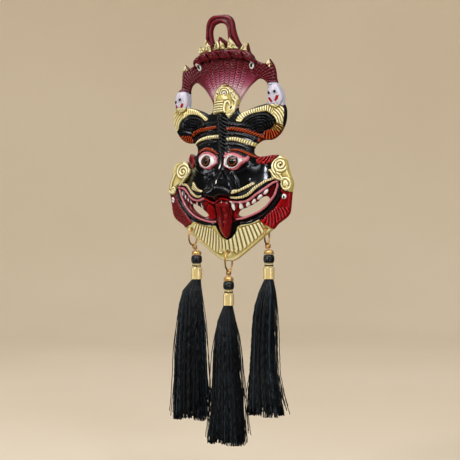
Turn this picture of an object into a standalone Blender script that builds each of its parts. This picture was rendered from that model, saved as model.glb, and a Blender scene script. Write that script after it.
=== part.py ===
"""Evil eye wall mask: one painted cast relief that hangs on a nail, with three tassels on wire rings.

Metres, +Z up, the face looks along -Y, the wall is the plane y = 0.
The origin is at the inner top of the hanger loop, where the nail bears, in the plane of the wall.
"""
import math

import bmesh
import bpy
import numpy as np
from mathutils import Vector
from mathutils.geometry import delaunay_2d_cdt

# Driving sizes of the casting, in metres
CASTING_HEIGHT = 0.2335
METAL_WALL = 0.0040
BACK_LAND = 0.0018
RING_HOLE_RADIUS = 0.0017

# Driving sizes of the rings and tassels, in metres
WIRE_RADIUS = 0.00055
RING_WIDTH = 0.0104
RING_DROP = 0.0100
RING_TURNS = {"left": math.radians(22), "centre": math.radians(16), "right": math.radians(2)}
EYE_WIDTH = 0.0046
EYE_HEIGHT = 0.0052
EYE_SWINGS = {"left": 0.0040, "centre": 0.0, "right": 0.0020}
CAP_RADIUS = 0.0048
CAP_HEIGHT = 0.0046
BEAD_RADIUS = 0.0053
BEAD_HEIGHT = 0.0080
SPACER_RADIUS = 0.0044
SPACER_HEIGHT = 0.0034
SLEEVE_RADIUS = 0.0053
SLEEVE_HEIGHT = 0.0110
SKIRT_LENGTHS = {"left": 0.1345, "centre": 0.1310, "right": 0.1280}
SKIRT_SWAYS = {"left": -0.0032, "centre": 0.0004, "right": -0.0016}
SKIRT_NECK_RADIUS = 0.0048
SKIRT_DEPTH = 0.0230
SKIRT_GAP = 0.0020
PIECE_GAP = 0.0003

# How finely the small pieces are divided
RING_POINTS = 22
EYE_POINTS = 16
TURNED_SIDES = 14
SKIRT_LEVELS = 9
SKIRT_SIDES = 16
SKIRT_FLARE = 1.7

# The carving is drawn on a grid of DRAWN_HEIGHT units from the loop's top to the collar's point
DRAWN_HEIGHT = 233.5
UNIT = CASTING_HEIGHT / DRAWN_HEIGHT
LEAN = math.radians(0.9)
OUTLINE_STEP = 3.6
FEATURE_STEP = 3.4
FILL_STEP = 5.2
BACK_STEP = 8.0
LAND_SLOPE = 2.0

# Heights of the large forms above the wall, in grid units: name: (x, z, height), right half
FORMS = {
    "loop top": (0, 4, 22), "loop side": (12, -8, 21.5), "loop foot": (14, -20, 18.5),
    "crown end": (25, -24, 12.5), "hood brow": (0, -30, 17), "hood side": (20, -31, 14),
    "hood end": (29, -36, 12), "fan top": (0, -42, 12.5), "fan side": (18, -45, 11.5),
    "fan flank": (26, -52, 9), "fan foot": (0, -56, 13.5), "fan low side": (16, -66, 10),
    "arm root": (34, -43, 9), "arm bend": (44, -44, 7), "arm end": (46, -56, 5.5),
    "head top": (47, -60, 5), "head foot": (50, -80, 5), "boss middle": (0, -72, 16),
    "boss side": (12, -76, 11.5), "boss foot": (0, -86, 19), "boss foot side": (11, -86, 15),
    "lobe root": (17, -90, 15), "lobe top": (30, -83, 9.5), "lobe shoulder": (44, -80, 6.5),
    "lobe end": (57, -88, 5), "lobe heart": (37, -95, 9.5), "lobe tail": (44, -109, 4.5),
    "forehead": (0, -100, 21), "forehead side": (18, -100, 17), "temple top": (32, -104, 9.5),
    "brow middle": (0, -116, 23.5), "brow side": (15, -116, 21), "temple": (29, -114, 12.5),
    "eye": (14, -131, 26), "eye inner": (3, -130, 27), "eye outer": (27, -129, 20),
    "temple edge": (30, -121, 13), "ear": (38, -129, 7.5), "bridge": (0, -140, 30),
    "nose": (0, -155, 33), "nose flank": (9, -147, 28), "cheek": (22, -146, 23),
    "cheek side": (34, -142, 14), "cheek edge": (44, -145, 8), "roundel": (51, -138, 5.5),
    "roundel outer": (60, -145, 4.5), "upper lip": (0, -168, 26), "lip side": (18, -167, 24),
    "lip far": (34, -161, 17), "lip corner": (51, -152, 7), "moustache": (25, -156, 22),
    "gum": (9, -177, 19), "gum side": (26, -172, 15), "gum far": (42, -162, 10),
    "lower lip": (10, -188, 16), "lower lip side": (30, -183, 12), "lower lip far": (45, -171, 9),
    "chin": (0, -198, 15), "chin side": (30, -189, 10.5), "jaw": (47, -177, 7.5),
    "jaw edge": (56, -160, 6), "bird": (59, -171, 4.5), "bird foot": (48, -189, 5.5),
    "collar": (0, -210, 12), "collar side": (20, -198, 11), "collar low": (22, -212, 9),
    "collar corner": (42, -195, 7.4), "collar point": (0, -224, 9.5),
}

# The right half of the outline, in grid units: smooth runs that meet at corners
OUTLINE_ABOVE_EAR = [
    [(0, 8), (7.5, 7.4), (12, 4.2), (14, 0), (14.9, -6), (16, -12), (17.5, -17.5), (19.3, -22)],
    [(19.3, -22), (24.6, -19.6)],
    [(24.6, -19.6), (26.2, -27.5), (29.3, -31.5), (31.2, -35.4), (35.5, -38), (39.7, -39.3)],
    [(39.7, -39.3), (44.6, -35.2)],
    [(44.6, -35.2), (47.5, -40.5), (48.8, -47), (49.3, -53), (50.4, -58)],
    [(50.4, -58), (53.8, -62), (56.2, -67), (57.5, -72.5), (57, -78)],
    [(57, -78), (58.8, -82.5), (59, -89), (58, -95), (55.8, -100.5), (52.5, -105.5),
     (48, -109.3), (43, -111.2), (37.5, -111.3), (33.5, -113.3), (30.6, -116.5), (29, -120.5)],
]
RIGHT_EAR_EDGE = [[(29, -120.5), (30, -124.5), (33.5, -127), (39, -126.7), (45, -125.6), (50, -125.6)],
                  [(50, -125.6), (54.5, -127.2)],
                  [(54.5, -127.2), (58.5, -131.2), (60.2, -137)]]
LEFT_EAR_EDGE = [[(29, -120.5), (29.8, -123), (32.5, -124.5)],
                 [(32.5, -124.5), (37.5, -122.6), (40.6, -121.6)],
                 [(40.6, -121.6), (42.7, -125.5), (42.6, -129.6)],
                 [(42.6, -129.6), (47, -128.6), (54.5, -129.6)],
                 [(54.5, -129.6), (58.5, -131.2), (60.2, -137)]]
OUTLINE_BELOW_EAR = [
    [(60.2, -137), (61.5, -143), (64, -149), (64.9, -154), (63.6, -160.4)],
    [(63.6, -160.4), (62.6, -169), (61.2, -179.5), (58, -184.5), (52.5, -188.3), (48.4, -191.2),
     (45.2, -195.2)],
    [(45.2, -195.2), (36.5, -202.4), (26.5, -210.3), (16, -218.5), (8.5, -223.6), (4, -225.3), (0, -225.5)],
]

# Openings right through the casting, in grid units
LOOP_HOLE = [[(7.4, -18.8), (8.1, -12), (7.7, -6), (5.2, -1.6), (0, 0), (-5.2, -1.6), (-7.7, -6),
              (-8.1, -12), (-7.0, -19.6)], [(-7.0, -19.6), (0.6, -13.4)], [(0.6, -13.4), (7.4, -18.8)]]
ARM_HOLE = [(32.5, -53.2), (28.3, -55.8), (23.5, -60), (19.5, -65), (15.8, -70.5), (13.4, -75.5),
            (12.9, -80.5), (14.4, -84.2), (17.6, -84.8), (22, -83), (27, -80.9), (32.5, -79),
            (38, -77.6), (41.3, -76), (41.3, -70), (41.6, -64), (41.4, -59.5), (39.5, -56),
            (36.3, -53.8)]
RIGHT_MOUTH_HOLE = [(13.3, -181), (16, -177.3), (21, -175.2), (27, -172.3), (32.8, -169),
                    (37.5, -165.3), (41.5, -164.8), (43.6, -168), (41.3, -172.2), (36, -176.4),
                    (29, -180), (21, -182.9), (15.6, -183.2)]
LEFT_MOUTH_HOLE = [(-17.5, -181.6), (-21, -177.8), (-25.8, -174.3), (-31, -171.2), (-35.6, -169.8),
                   (-37.4, -172.6), (-34.2, -177), (-29, -180.6), (-22.8, -182.9)]
SIDE_RING_HOLE = (39, -194.6)
CENTRE_RING_HOLE = (0, -216.8)

# Lines that are cast as raised beads, right half: name: (points, half width, rise)
BEADS = {
    "loop inner rope": ([(9.4, -21), (9.7, -12), (9.2, -5), (6.3, 0.6), (0, 2.6)], 1.4, 1.3),
    "loop outer rope": ([(15.9, -20), (13.6, -10), (12.7, -2), (8.6, 4.6), (0, 6.2)], 1.5, 1.3),
    "upper forehead band": ([(6, -99.5), (13, -99.8), (21.5, -101.2), (29, -103.3), (36.5, -106.4)],
                            1.8, 1.8),
    "lower forehead band": ([(7, -109.6), (13.5, -110), (20, -111.7), (26, -113.9), (31.2, -116)],
                            1.8, 2.0),
    "long moustache": ([(13, -165.6), (20.5, -165), (26.5, -162.3), (32, -158), (38, -152.8),
                        (47, -148.6)], 1.4, 1.6),
    "short moustache": ([(17, -160.4), (24, -158), (32, -153.8)], 1.5, 1.6),
    "upper lip": ([(9, -167.3), (15.5, -168), (22, -168), (28, -166), (33.5, -162.8), (39.5, -157.8),
                   (46, -152.7), (52, -150.9)], 1.7, 2.4),
    "lower lip": ([(8, -188), (16.5, -187.3), (23.5, -185.4), (30, -182.7), (36.5, -179), (42, -174.3),
                   (46.7, -168.6), (49.8, -163), (51.6, -156.8), (52, -150.9)], 1.7, 2.4),
    "jaw rim": ([(16, -191), (24.5, -189.2), (32, -186.3), (39.5, -181.4), (46, -175), (51, -167.5),
                 (54, -160), (54.2, -153)], 1.8, 1.4),
    "lobe edge": ([(16.6, -88), (22, -85), (30, -82.2), (40, -79.4), (50, -80), (56.5, -84), (57.2, -92),
                   (54.6, -100), (49, -106.6), (42, -109.4)], 1.6, 1.4),
    "lobe rib 1": ([(21, -94.6), (27, -90), (35, -87.6), (43, -88.4), (48.5, -93), (48, -99.5)], 1.3, 1.2),
    "lobe rib 2": ([(25.5, -96.6), (31, -93.2), (37.5, -92.2), (42.5, -95), (43.4, -100)], 1.3, 1.2),
    "lobe rib 3": ([(30, -99), (34.5, -97), (38, -98.4), (38.4, -102)], 1.2, 1.1),
    "cheek fold": ([(7.5, -143), (9.5, -149), (13.5, -154.5), (15.5, -160)], 1.6, 1.5),
    "arm ring 1": ([(36.5, -51), (38.5, -40.5)], 1.3, 0.9),
    "arm ring 2": ([(40.2, -54), (46.6, -44.5)], 1.3, 0.9),
    "arm ring 3": ([(42.8, -58.6), (48.2, -54)], 1.3, 0.9),
    "bird rib 1": ([(50, -178), (57, -181.5)], 1.4, 1.0),
    "bird rib 2": ([(46, -182.5), (53, -186.5)], 1.4, 1.0),
    "bird rib 3": ([(42.5, -187), (48.5, -190.5)], 1.4, 1.0),
}
BROWS = [([(9.5, -121.4), (14, -120), (19.5, -120.9), (26, -123.8), (33.2, -128.3)], 1.6, 1.8),
         ([(-1.6, -123.4), (-6.5, -120.6), (-12.5, -118.9), (-19, -119.2), (-25.8, -123)], 1.6, 1.8)]
COLUMN = ([(0, -88), (0, -104), (0, -122)], 3.6, 2.4)
NOSE_RIDGE = ([(0, -122), (0, -138), (0, -154)], 3.4, 1.6)
LEFT_BAND_LIFT = 2.2

# Areas that are cast proud of their surroundings: (outline, rise, width of the bevel)
RIGHT_EYE = [(5.9, -124.2), (9.5, -122.8), (17, -123.6), (24, -126.6), (31, -127.8), (30.4, -131.6),
             (24.3, -135.8), (16, -140), (9.5, -138.4), (6.2, -133)]
LEFT_EYE = [(-24.6, -126.6), (-20.5, -122.2), (-13.5, -121), (-6, -123.6), (-1.4, -128), (-1.2, -132.8),
            (-5.2, -136.4), (-10, -138.8), (-16.5, -137.6), (-22.6, -132.4)]
IRIS_RADIUS = 5.4
RIGHT_IRIS = (14.3, -131.4)
LEFT_IRIS = (-13.1, -130.6)
TONGUE = [(-8.6, -171), (-9.4, -178), (-8.8, -186), (-6.8, -193.5), (-3.6, -200), (0.6, -204.6),
          (3.6, -200.6), (7, -194), (9.2, -186), (9.6, -178), (8.6, -171)]
BOSS = [(0, -57), (4.6, -58.8), (8.4, -62.4), (11.6, -66.6), (12.8, -70.5), (11.9, -76), (11.2, -82.5),
        (8.6, -88.6), (4.5, -85.6), (0, -84.8), (-4.5, -85.6), (-8.6, -86.2), (-10.8, -82.5),
        (-11.2, -76), (-12.6, -70.5), (-11.4, -66.6), (-8.2, -62.4), (-4.6, -58.8)]
ROUNDEL = [(45.4, -131.6), (49.5, -128), (55, -128.4), (58.8, -133), (60.3, -139.5), (62.8, -147),
           (63.6, -154.5), (60.8, -159.4), (57, -158), (55, -152.6), (49.6, -149.6), (44.6, -145.4),
           (43.4, -138.5)]
LEFT_LEAF = [(-40.2, -122.6), (-36.4, -123.6), (-32, -128), (-31.6, -133), (-35.6, -136), (-39.8, -133.4),
             (-42, -129), (-41.8, -125.4)]
RIGHT_EAR = [(33.6, -128.4), (39.4, -127.6), (46, -126.4), (50.4, -126.6), (46.4, -131.6), (41.4, -134.2),
             (35.4, -133.4)]
BIRD = [(55.8, -163.5), (61.4, -162.4), (61.4, -171), (59.8, -180), (56, -184.4), (48.6, -189.4),
        (45, -192.6), (38.6, -189.4), (45, -182.6), (51, -175), (54.8, -168)]

# Rounded swellings: (centre x, centre z, half width, half height, rise)
HEAD_BALL = (49.3, -69.6, 7.6, 11.6, 6.5)
NOSE_BALL = (0, -160.5, 13.5, 9.5, 5.5)
NOSTRIL_BALL = (11.2, -162.2, 5.4, 4.8, 2.4)
EYEBALL = (13.6, -130.6, 9.5, 7.6, 2.2)
SPIRAL_BALL = (51.6, -137.4, 5.0, 5.4, 1.4)
CURL_BALL = (59.4, -153.8, 3.6, 4.6, 1.2)
HOOD_EYE = (27.4, -40, 2.9, 3.2, 1.4)
BIRD_EYE = (58.8, -165.6, 2.2, 2.6, 1.0)

# The hood's rolled rim with its roundels, its fan of ribs, and the crown's spikes
RIM = ([(-30, -35.4), (-24, -31.4), (-13, -29.2), (0, -28.6), (13, -29.2), (24, -31.4), (30, -35.4)],
       4.4, 5.6)
ROUNDEL_SPOTS = [(-22.6, -32.6), (-11.8, -31.4), (0, -31), (11.8, -31.4), (22.6, -32.6)]
ROUNDEL_RADIUS = 4.2
ROUNDEL_RISE = 1.6
FAN_FOCUS = (0, -98)
FAN_HALF_ANGLE = math.radians(25)
FAN_RIBS = 8
FAN_INNER = 36
FAN_OUTER = 62
FAN_DEPTH = 1.6
SPIKES = [(0.6, -25.2, -13.8, 5.6), (12.2, -24.8, -15.4, 5.4), (-12.2, -24.8, -15.0, 5.2),
          (23.6, -27.0, -20.2, 3.4), (-23.6, -27.0, -20.2, 3.4)]
SPIKE_RISE = 3.4

# The collar's flutes fan out from a point above the mouth
FLUTE_FOCUS = (0, -120)
FLUTES_EACH_SIDE = 11
FLUTE_PITCH = math.radians(2.35)
FLUTE_DEPTH = 1.1
FLUTE_TOP = [(0, -205.5), (6.5, -203.5), (13, -195.5), (22, -192.4), (31, -189.6), (38, -190)]
FLUTE_FOOT = [(0, -213.6), (9, -216), (16, -212.6), (26.5, -204.6), (35, -198.2), (40.5, -192.6)]

MATERIALS = {
    "painted casting": ((0.030, 0.012, 0.014), 0.30, 0.2),
    "gold wire": ((0.70, 0.43, 0.14), 0.28, 1.0),
    "gold trim": ((0.78, 0.55, 0.20), 0.22, 1.0),
    "black bead": ((0.010, 0.011, 0.012), 0.30, 0.0),
    "black silk": ((0.008, 0.010, 0.012), 0.55, 0.0),
}


def clear_scene():
    for thing in list(bpy.data.objects):
        bpy.data.objects.remove(thing, do_unlink=True)


def make_material(name):
    colour, roughness, metallic = MATERIALS[name]
    material = bpy.data.materials.new(name)
    material.use_nodes = True
    shader = material.node_tree.nodes["Principled BSDF"]
    shader.inputs["Base Color"].default_value = (*colour, 1)
    shader.inputs["Roughness"].default_value = roughness
    shader.inputs["Metallic"].default_value = metallic
    return material


def curve(points, step, closed=False):
    """A smooth line through the points, with a new point about every step."""
    points = [np.array(p, float) for p in points]
    count = len(points)
    spans = count if closed else count - 1
    line = []
    for i in range(spans):
        start = points[i]
        end = points[(i + 1) % count]
        before = points[i - 1] if closed or i > 0 else 2 * start - end
        after = points[(i + 2) % count] if closed or i + 2 < count else 2 * end - start
        bend = 2 * before - 5 * start + 4 * end - after
        twist = 3 * start - before - 3 * end + after
        pieces = max(1, round(np.linalg.norm(end - start) / step))
        for k in range(pieces):
            t = k / pieces
            line.append(0.5 * (2 * start + (end - before) * t + bend * t ** 2 + twist * t ** 3))
    if not closed:
        line.append(points[-1])
    return np.array(line)


def join_runs(runs, step):
    """One closed line from smooth runs that meet at corners."""
    return np.vstack([curve(run, step)[:-1] for run in runs])


def mirrored(points):
    return [(-x, z) for x, z in points]


def ellipse(x, z, half_width, half_height, count):
    turns = [2 * math.pi * k / count for k in range(count)]
    return [(x + half_width * math.cos(t), z + half_height * math.sin(t)) for t in turns]


def distance_to(line, at, closed=False):
    """Distance from each point to the line, and how far along the line its nearest point is."""
    line = np.asarray(line, float)
    ends = np.vstack([line[1:], line[:1]]) if closed else line[1:]
    starts = line if closed else line[:-1]
    best = np.full(len(at), 1e9)
    along = np.zeros(len(at))
    travelled = 0.0
    for start, end in zip(starts, ends):
        span = end - start
        length = math.hypot(*span)
        share = np.clip(((at - start) @ span) / (length * length), 0, 1)
        away = np.hypot(*(at - start - share[:, None] * span).T)
        nearer = away < best
        best[nearer] = away[nearer]
        along[nearer] = travelled + share[nearer] * length
        travelled += length
    return best, along


def inside(loop, at):
    """Which points lie inside the closed loop."""
    loop = np.asarray(loop, float)
    within = np.zeros(len(at), bool)
    x, z = at[:, 0], at[:, 1]
    for (x0, z0), (x1, z1) in zip(loop, np.roll(loop, -1, axis=0)):
        if z0 == z1:
            continue
        crosses = (z0 > z) != (z1 > z)
        within ^= crosses & (x < x0 + (z - z0) * (x1 - x0) / (z1 - z0))
    return within


def soft_step(t):
    t = np.clip(t, 0, 1)
    return t * t * (3 - 2 * t)


def outline_loops():
    """The outer edge and every opening of the casting, as closed lines in grid units."""
    right = OUTLINE_ABOVE_EAR + RIGHT_EAR_EDGE + OUTLINE_BELOW_EAR
    left = OUTLINE_ABOVE_EAR + LEFT_EAR_EDGE + OUTLINE_BELOW_EAR
    runs = right + [mirrored(run)[::-1] for run in reversed(left)]
    loops = [join_runs(runs, OUTLINE_STEP), join_runs(LOOP_HOLE, OUTLINE_STEP)]
    for hole in (ARM_HOLE, mirrored(ARM_HOLE), RIGHT_MOUTH_HOLE, LEFT_MOUTH_HOLE):
        loops.append(curve(hole, OUTLINE_STEP, closed=True))
    radius = RING_HOLE_RADIUS / UNIT
    for x, z in ring_holes():
        loops.append(np.array(ellipse(x, z, radius, radius, 12)))
    return loops


def ring_holes():
    x, z = SIDE_RING_HOLE
    return [(-x, z), CENTRE_RING_HOLE, (x, z)]


def both_sides(points, lift=0.0):
    return [points, [(-x, z + lift) for x, z in points]]


def bead_lines():
    """Every raised line as (points, half width, rise)."""
    lines = []
    for name, (points, half_width, rise) in BEADS.items():
        lift = LEFT_BAND_LIFT if "band" in name else 0.0
        for side in both_sides(points, lift):
            lines.append((curve(side, FEATURE_STEP), half_width, rise))
    for points, half_width, rise in BROWS + [COLUMN, NOSE_RIDGE]:
        lines.append((curve(points, FEATURE_STEP), half_width, rise))
    return lines


def proud_areas():
    """Every raised area as (closed line, rise, bevel)."""
    areas = [(RIGHT_EYE, 1.8, 1.8), (LEFT_EYE, 1.8, 1.8), (TONGUE, 5.5, 4.0), (BOSS, 2.6, 2.2),
             (LEFT_LEAF, 2.5, 2.5), (RIGHT_EAR, 2.0, 2.2), (ROUNDEL, 2.4, 2.2),
             (mirrored(ROUNDEL), 2.4, 2.2), (BIRD, 2.0, 2.4), (mirrored(BIRD), 2.0, 2.4)]
    return [(curve(points, FEATURE_STEP, closed=True), rise, bevel) for points, rise, bevel in areas]


def balls():
    """Every rounded swelling as (x, z, half width, half height, rise)."""
    found = [NOSE_BALL]
    for x, z, half_width, half_height, rise in (HEAD_BALL, NOSTRIL_BALL, EYEBALL, SPIRAL_BALL, CURL_BALL,
                                                HOOD_EYE, BIRD_EYE):
        found += [(x, z, half_width, half_height, rise), (-x, z, half_width, half_height, rise)]
    found += [(x, z, IRIS_RADIUS, IRIS_RADIUS, 1.0) for x, z in (RIGHT_IRIS, LEFT_IRIS)]
    found += [(x, z, ROUNDEL_RADIUS, ROUNDEL_RADIUS, ROUNDEL_RISE) for x, z in ROUNDEL_SPOTS]
    return found


def fan_line(angle, start, end, step):
    """A rib line of the hood, from its focus outward."""
    x, z = FAN_FOCUS
    count = max(2, round((end - start) / step))
    radii = [start + (end - start) * k / count for k in range(count + 1)]
    return [(x + r * math.sin(angle), z + r * math.cos(angle)) for r in radii]


def flute_line(angle, step):
    """A crest or hollow of the collar, from the jaw down to the collar's plain border."""
    x, z = FLUTE_FOCUS
    direction = np.array([math.sin(abs(angle)), -math.cos(angle)])
    radii = np.arange(60, 110, 0.25)
    path = np.array([x, z]) + radii[:, None] * direction
    top = np.interp(path[:, 0], *zip(*FLUTE_TOP))
    foot = np.interp(path[:, 0], *zip(*FLUTE_FOOT))
    kept = path[(path[:, 1] < top) & (path[:, 1] > foot)]
    if len(kept) < 4:
        return []
    count = max(1, round(np.linalg.norm(kept[-1] - kept[0]) / step))
    side = 1 if angle >= 0 else -1
    return [kept[0] * (side, 1) + (kept[-1] - kept[0]) * (side, 1) * k / count for k in range(count + 1)]


def form_surface():
    """The smooth sheet through FORMS, as a function from points to heights."""
    spots = []
    heights = []
    for x, z, height in FORMS.values():
        for side in ((x, z),) if x == 0 else ((x, z), (-x, z)):
            spots.append(side)
            heights.append(height)
    spots = np.array(spots, float)

    def bending(at):
        squared = ((at[:, None, :] - spots[None]) ** 2).sum(2)
        return squared * np.log(squared + 1e-9)

    count = len(spots)
    plane = np.hstack([np.ones((count, 1)), spots])
    system = np.zeros((count + 3, count + 3))
    system[:count, :count] = bending(spots)
    system[:count, count:] = plane
    system[count:, :count] = plane.T
    weights = np.linalg.solve(system, np.concatenate([heights, np.zeros(3)]))
    return lambda at: bending(at) @ weights[:count] + weights[count] + at @ weights[count + 1:]


def spike_height(at):
    """The crown's five leaf spikes, each a ridged blade that narrows upward."""
    rise = np.zeros(len(at))
    for x, foot, tip, half_width in SPIKES:
        up = np.clip((at[:, 1] - foot) / (tip - foot), 0, 1)
        reach = half_width * (1 - up) + 0.4
        blade = np.clip(1 - np.abs(at[:, 0] - x) / reach, 0, 1)
        standing = (at[:, 1] > foot) & (at[:, 1] < tip + 1)
        rise = np.maximum(rise, np.where(standing, SPIKE_RISE * np.sqrt(blade), 0))
    return rise


def fan_height(at):
    """Rounded ribs under the hood's rim, parted by narrow hollows."""
    x, z = (at - FAN_FOCUS).T
    angle = np.arctan2(x, z)
    radius = np.hypot(x, z)
    rib = np.abs(np.sin((angle / (2 * FAN_HALF_ANGLE) + 0.5) * FAN_RIBS * math.pi))
    fade = soft_step((FAN_OUTER + 4 - radius) / 4) * soft_step((radius - FAN_INNER) / 6)
    return np.where(np.abs(angle) < FAN_HALF_ANGLE, FAN_DEPTH * (np.sqrt(rib) - 0.6) * fade, 0)


def flute_height(at):
    """The collar's flutes, between the jaw and the plain border."""
    x, z = at[:, 0], at[:, 1]
    angle = np.arctan2(np.abs(x), FLUTE_FOCUS[1] - z)
    wave = np.cos(2 * math.pi * angle / FLUTE_PITCH)
    top = np.interp(np.abs(x), *zip(*FLUTE_TOP))
    foot = np.interp(np.abs(x), *zip(*FLUTE_FOOT))
    fade = soft_step((top - z) / 1.5 + 0.5) * soft_step((z - foot) / 1.5 + 0.5)
    return FLUTE_DEPTH * wave * fade * (angle < (FLUTES_EACH_SIDE + 0.5) * FLUTE_PITCH)


def relief_height(at, forms):
    """Height of the carved front above the wall, in grid units."""
    height = forms(at)
    for line, rise, bevel in proud_areas():
        depth = distance_to(line, at, closed=True)[0] * inside(line, at)
        height += rise * np.sqrt(soft_step(depth / bevel))
    for line, half_width, rise in bead_lines():
        height += rise * np.sqrt(np.clip(1 - (distance_to(line, at)[0] / half_width) ** 2, 0, 1))
    for x, z, half_width, half_height, rise in balls():
        reach = ((at[:, 0] - x) / half_width) ** 2 + ((at[:, 1] - z) / half_height) ** 2
        height += rise * np.sqrt(np.clip(1 - reach, 0, 1))
    rim_line, half_width, rise = RIM
    height += rise * np.sqrt(np.clip(1 - (distance_to(rim_line, at)[0] / half_width) ** 2, 0, 1))
    return height + spike_height(at) + fan_height(at) + flute_height(at)


def feature_lines():
    """Open and closed lines that the front's triangles follow, as (points, closed)."""
    lines = []
    for line, half_width, _ in bead_lines():
        lines.append((line, False))
        if half_width > 1.6:
            lines += [(side, False) for side in beside(line, half_width)]
    for line, _, bevel in proud_areas():
        lines.append((line, True))
        inner = line + 0.8 * bevel * inward(line)
        lines.append((inner, True))
    for x, z, half_width, half_height, _ in balls():
        count = 8 if half_width < 4 else 12
        lines.append((np.array(ellipse(x, z, half_width, half_height, count)), True))
        if half_width > 4:
            lines.append((np.array(ellipse(x, z, 0.6 * half_width, 0.6 * half_height, count)), True))
    rim_line, half_width, _ = RIM
    rim_line = curve(rim_line, FEATURE_STEP)
    lines += [(rim_line, False)] + [(side, False) for side in beside(rim_line, half_width)]
    for k in range(2 * FAN_RIBS + 1):
        angle = FAN_HALF_ANGLE * (k / FAN_RIBS - 1)
        lines.append((np.array(fan_line(angle, FAN_INNER, FAN_OUTER, FEATURE_STEP * 1.6)), False))
    for k in range(-2 * FLUTES_EACH_SIDE, 2 * FLUTES_EACH_SIDE + 1):
        line = flute_line(k * FLUTE_PITCH / 2, 9.0)
        if line:
            lines.append((np.array(line), False))
    for x, foot, tip, half_width in SPIKES:
        lines.append((np.array([(x, foot), (x, tip)]), False))
        lines.append((np.array([(x - half_width, foot), (x, tip + 0.4), (x + half_width, foot)]), False))
    return lines


def inward(loop):
    """Unit vectors that point into a closed loop, one at each of its points."""
    along = np.roll(loop, -1, axis=0) - np.roll(loop, 1, axis=0)
    across = np.column_stack([-along[:, 1], along[:, 0]]) / np.linalg.norm(along, axis=1)[:, None]
    return across if inside(loop, loop[:1] + 0.05 * across[:1])[0] else -across


def beside(line, offset):
    """The two lines that run beside an open line."""
    along = np.gradient(line, axis=0)
    across = np.column_stack([-along[:, 1], along[:, 0]]) / np.linalg.norm(along, axis=1)[:, None]
    return [line + offset * across, line - offset * across]


def clear_of(loops, at, margin):
    """Which points lie on the metal, at least the margin from every edge."""
    good = inside(loops[0], at)
    for loop in loops[1:]:
        good &= ~inside(loop, at)
    for loop in loops:
        good &= distance_to(loop, at, closed=True)[0] > margin
    return good


def fill_points(step, taken, loops, margin):
    """A staggered grid over the metal, away from points that are already taken."""
    low = loops[0].min(0)
    high = loops[0].max(0)
    grid = []
    for k, z in enumerate(np.arange(low[1], high[1], step * math.sqrt(3) / 2)):
        grid += [(x, z) for x in np.arange(low[0] + (k % 2) * step / 2, high[0], step)]
    grid = np.array(grid)
    grid = grid[clear_of(loops, grid, margin)]
    if len(taken):
        nearest = np.array([np.hypot(*(taken - spot).T).min() for spot in grid])
        grid = grid[nearest > 0.62 * step]
    return grid


def triangulate(loops, lines, step):
    """Triangles over the metal that follow the loops and lines: (points, triangles)."""
    points = []
    edges = []
    for loop in loops:
        first = len(points)
        points += [tuple(p) for p in loop]
        edges += [(first + k, first + (k + 1) % len(loop)) for k in range(len(loop))]
    rim_count = len(points)
    for line, closed in lines:
        kept = clear_of(loops, line, 0.9)
        first = len(points)
        numbers = {}
        for k in np.flatnonzero(kept):
            near = np.hypot(*(np.array(points) - line[k]).T)
            if near.min() > 0.55:
                points.append(tuple(line[k]))
                numbers[k] = len(points) - 1
            elif near.argmin() >= rim_count:
                numbers[k] = int(near.argmin())
        last = len(line) if closed else len(line) - 1
        for k in range(last):
            pair = numbers.get(k), numbers.get((k + 1) % len(line))
            if None in pair or pair[0] == pair[1]:
                continue
            middle = np.array([(np.array(points[pair[0]]) + np.array(points[pair[1]])) / 2])
            if clear_of(loops, middle, 0.5)[0]:
                edges.append(pair)
    points += [tuple(p) for p in fill_points(step, np.array(points), loops, 0.5 * step)]
    flat = [Vector(p) for p in points]
    made, _, faces, *_ = delaunay_2d_cdt(flat, edges, [], 0, 0.02, False)
    made = np.array([tuple(p) for p in made])
    faces = np.array([tuple(face) for face in faces])
    middles = made[faces].mean(1)
    good = inside(loops[0], middles)
    for loop in loops[1:]:
        good &= ~inside(loop, middles)
    return made, faces[good]


def turned(face, points):
    """The triangle with its points anticlockwise as seen from the front."""
    (ax, az), (bx, bz), (cx, cz) = points[face]
    area = (bx - ax) * (cz - az) - (cx - ax) * (bz - az)
    return tuple(face) if area > 0 else tuple(face[::-1])


def place(x, z, height):
    """Grid units to metres, with the small lean at which the casting hangs."""
    world_x = x * math.cos(LEAN) - z * math.sin(LEAN)
    world_z = x * math.sin(LEAN) + z * math.cos(LEAN)
    return Vector((world_x * UNIT, -height * UNIT, world_z * UNIT))


def casting_depths(at, forms):
    """Front and back heights above the wall, in grid units, a metal wall apart.

    Where the back would stand off the wall by less than the land, it is cast down flat to the wall.
    """
    wall = METAL_WALL / UNIT
    land = BACK_LAND / UNIT
    above = forms(at) - wall - land
    back = np.maximum(above, 0) + land * soft_step(above / LAND_SLOPE)
    front = np.maximum(relief_height(at, forms), back + 0.7 * wall)
    return front, back


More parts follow.
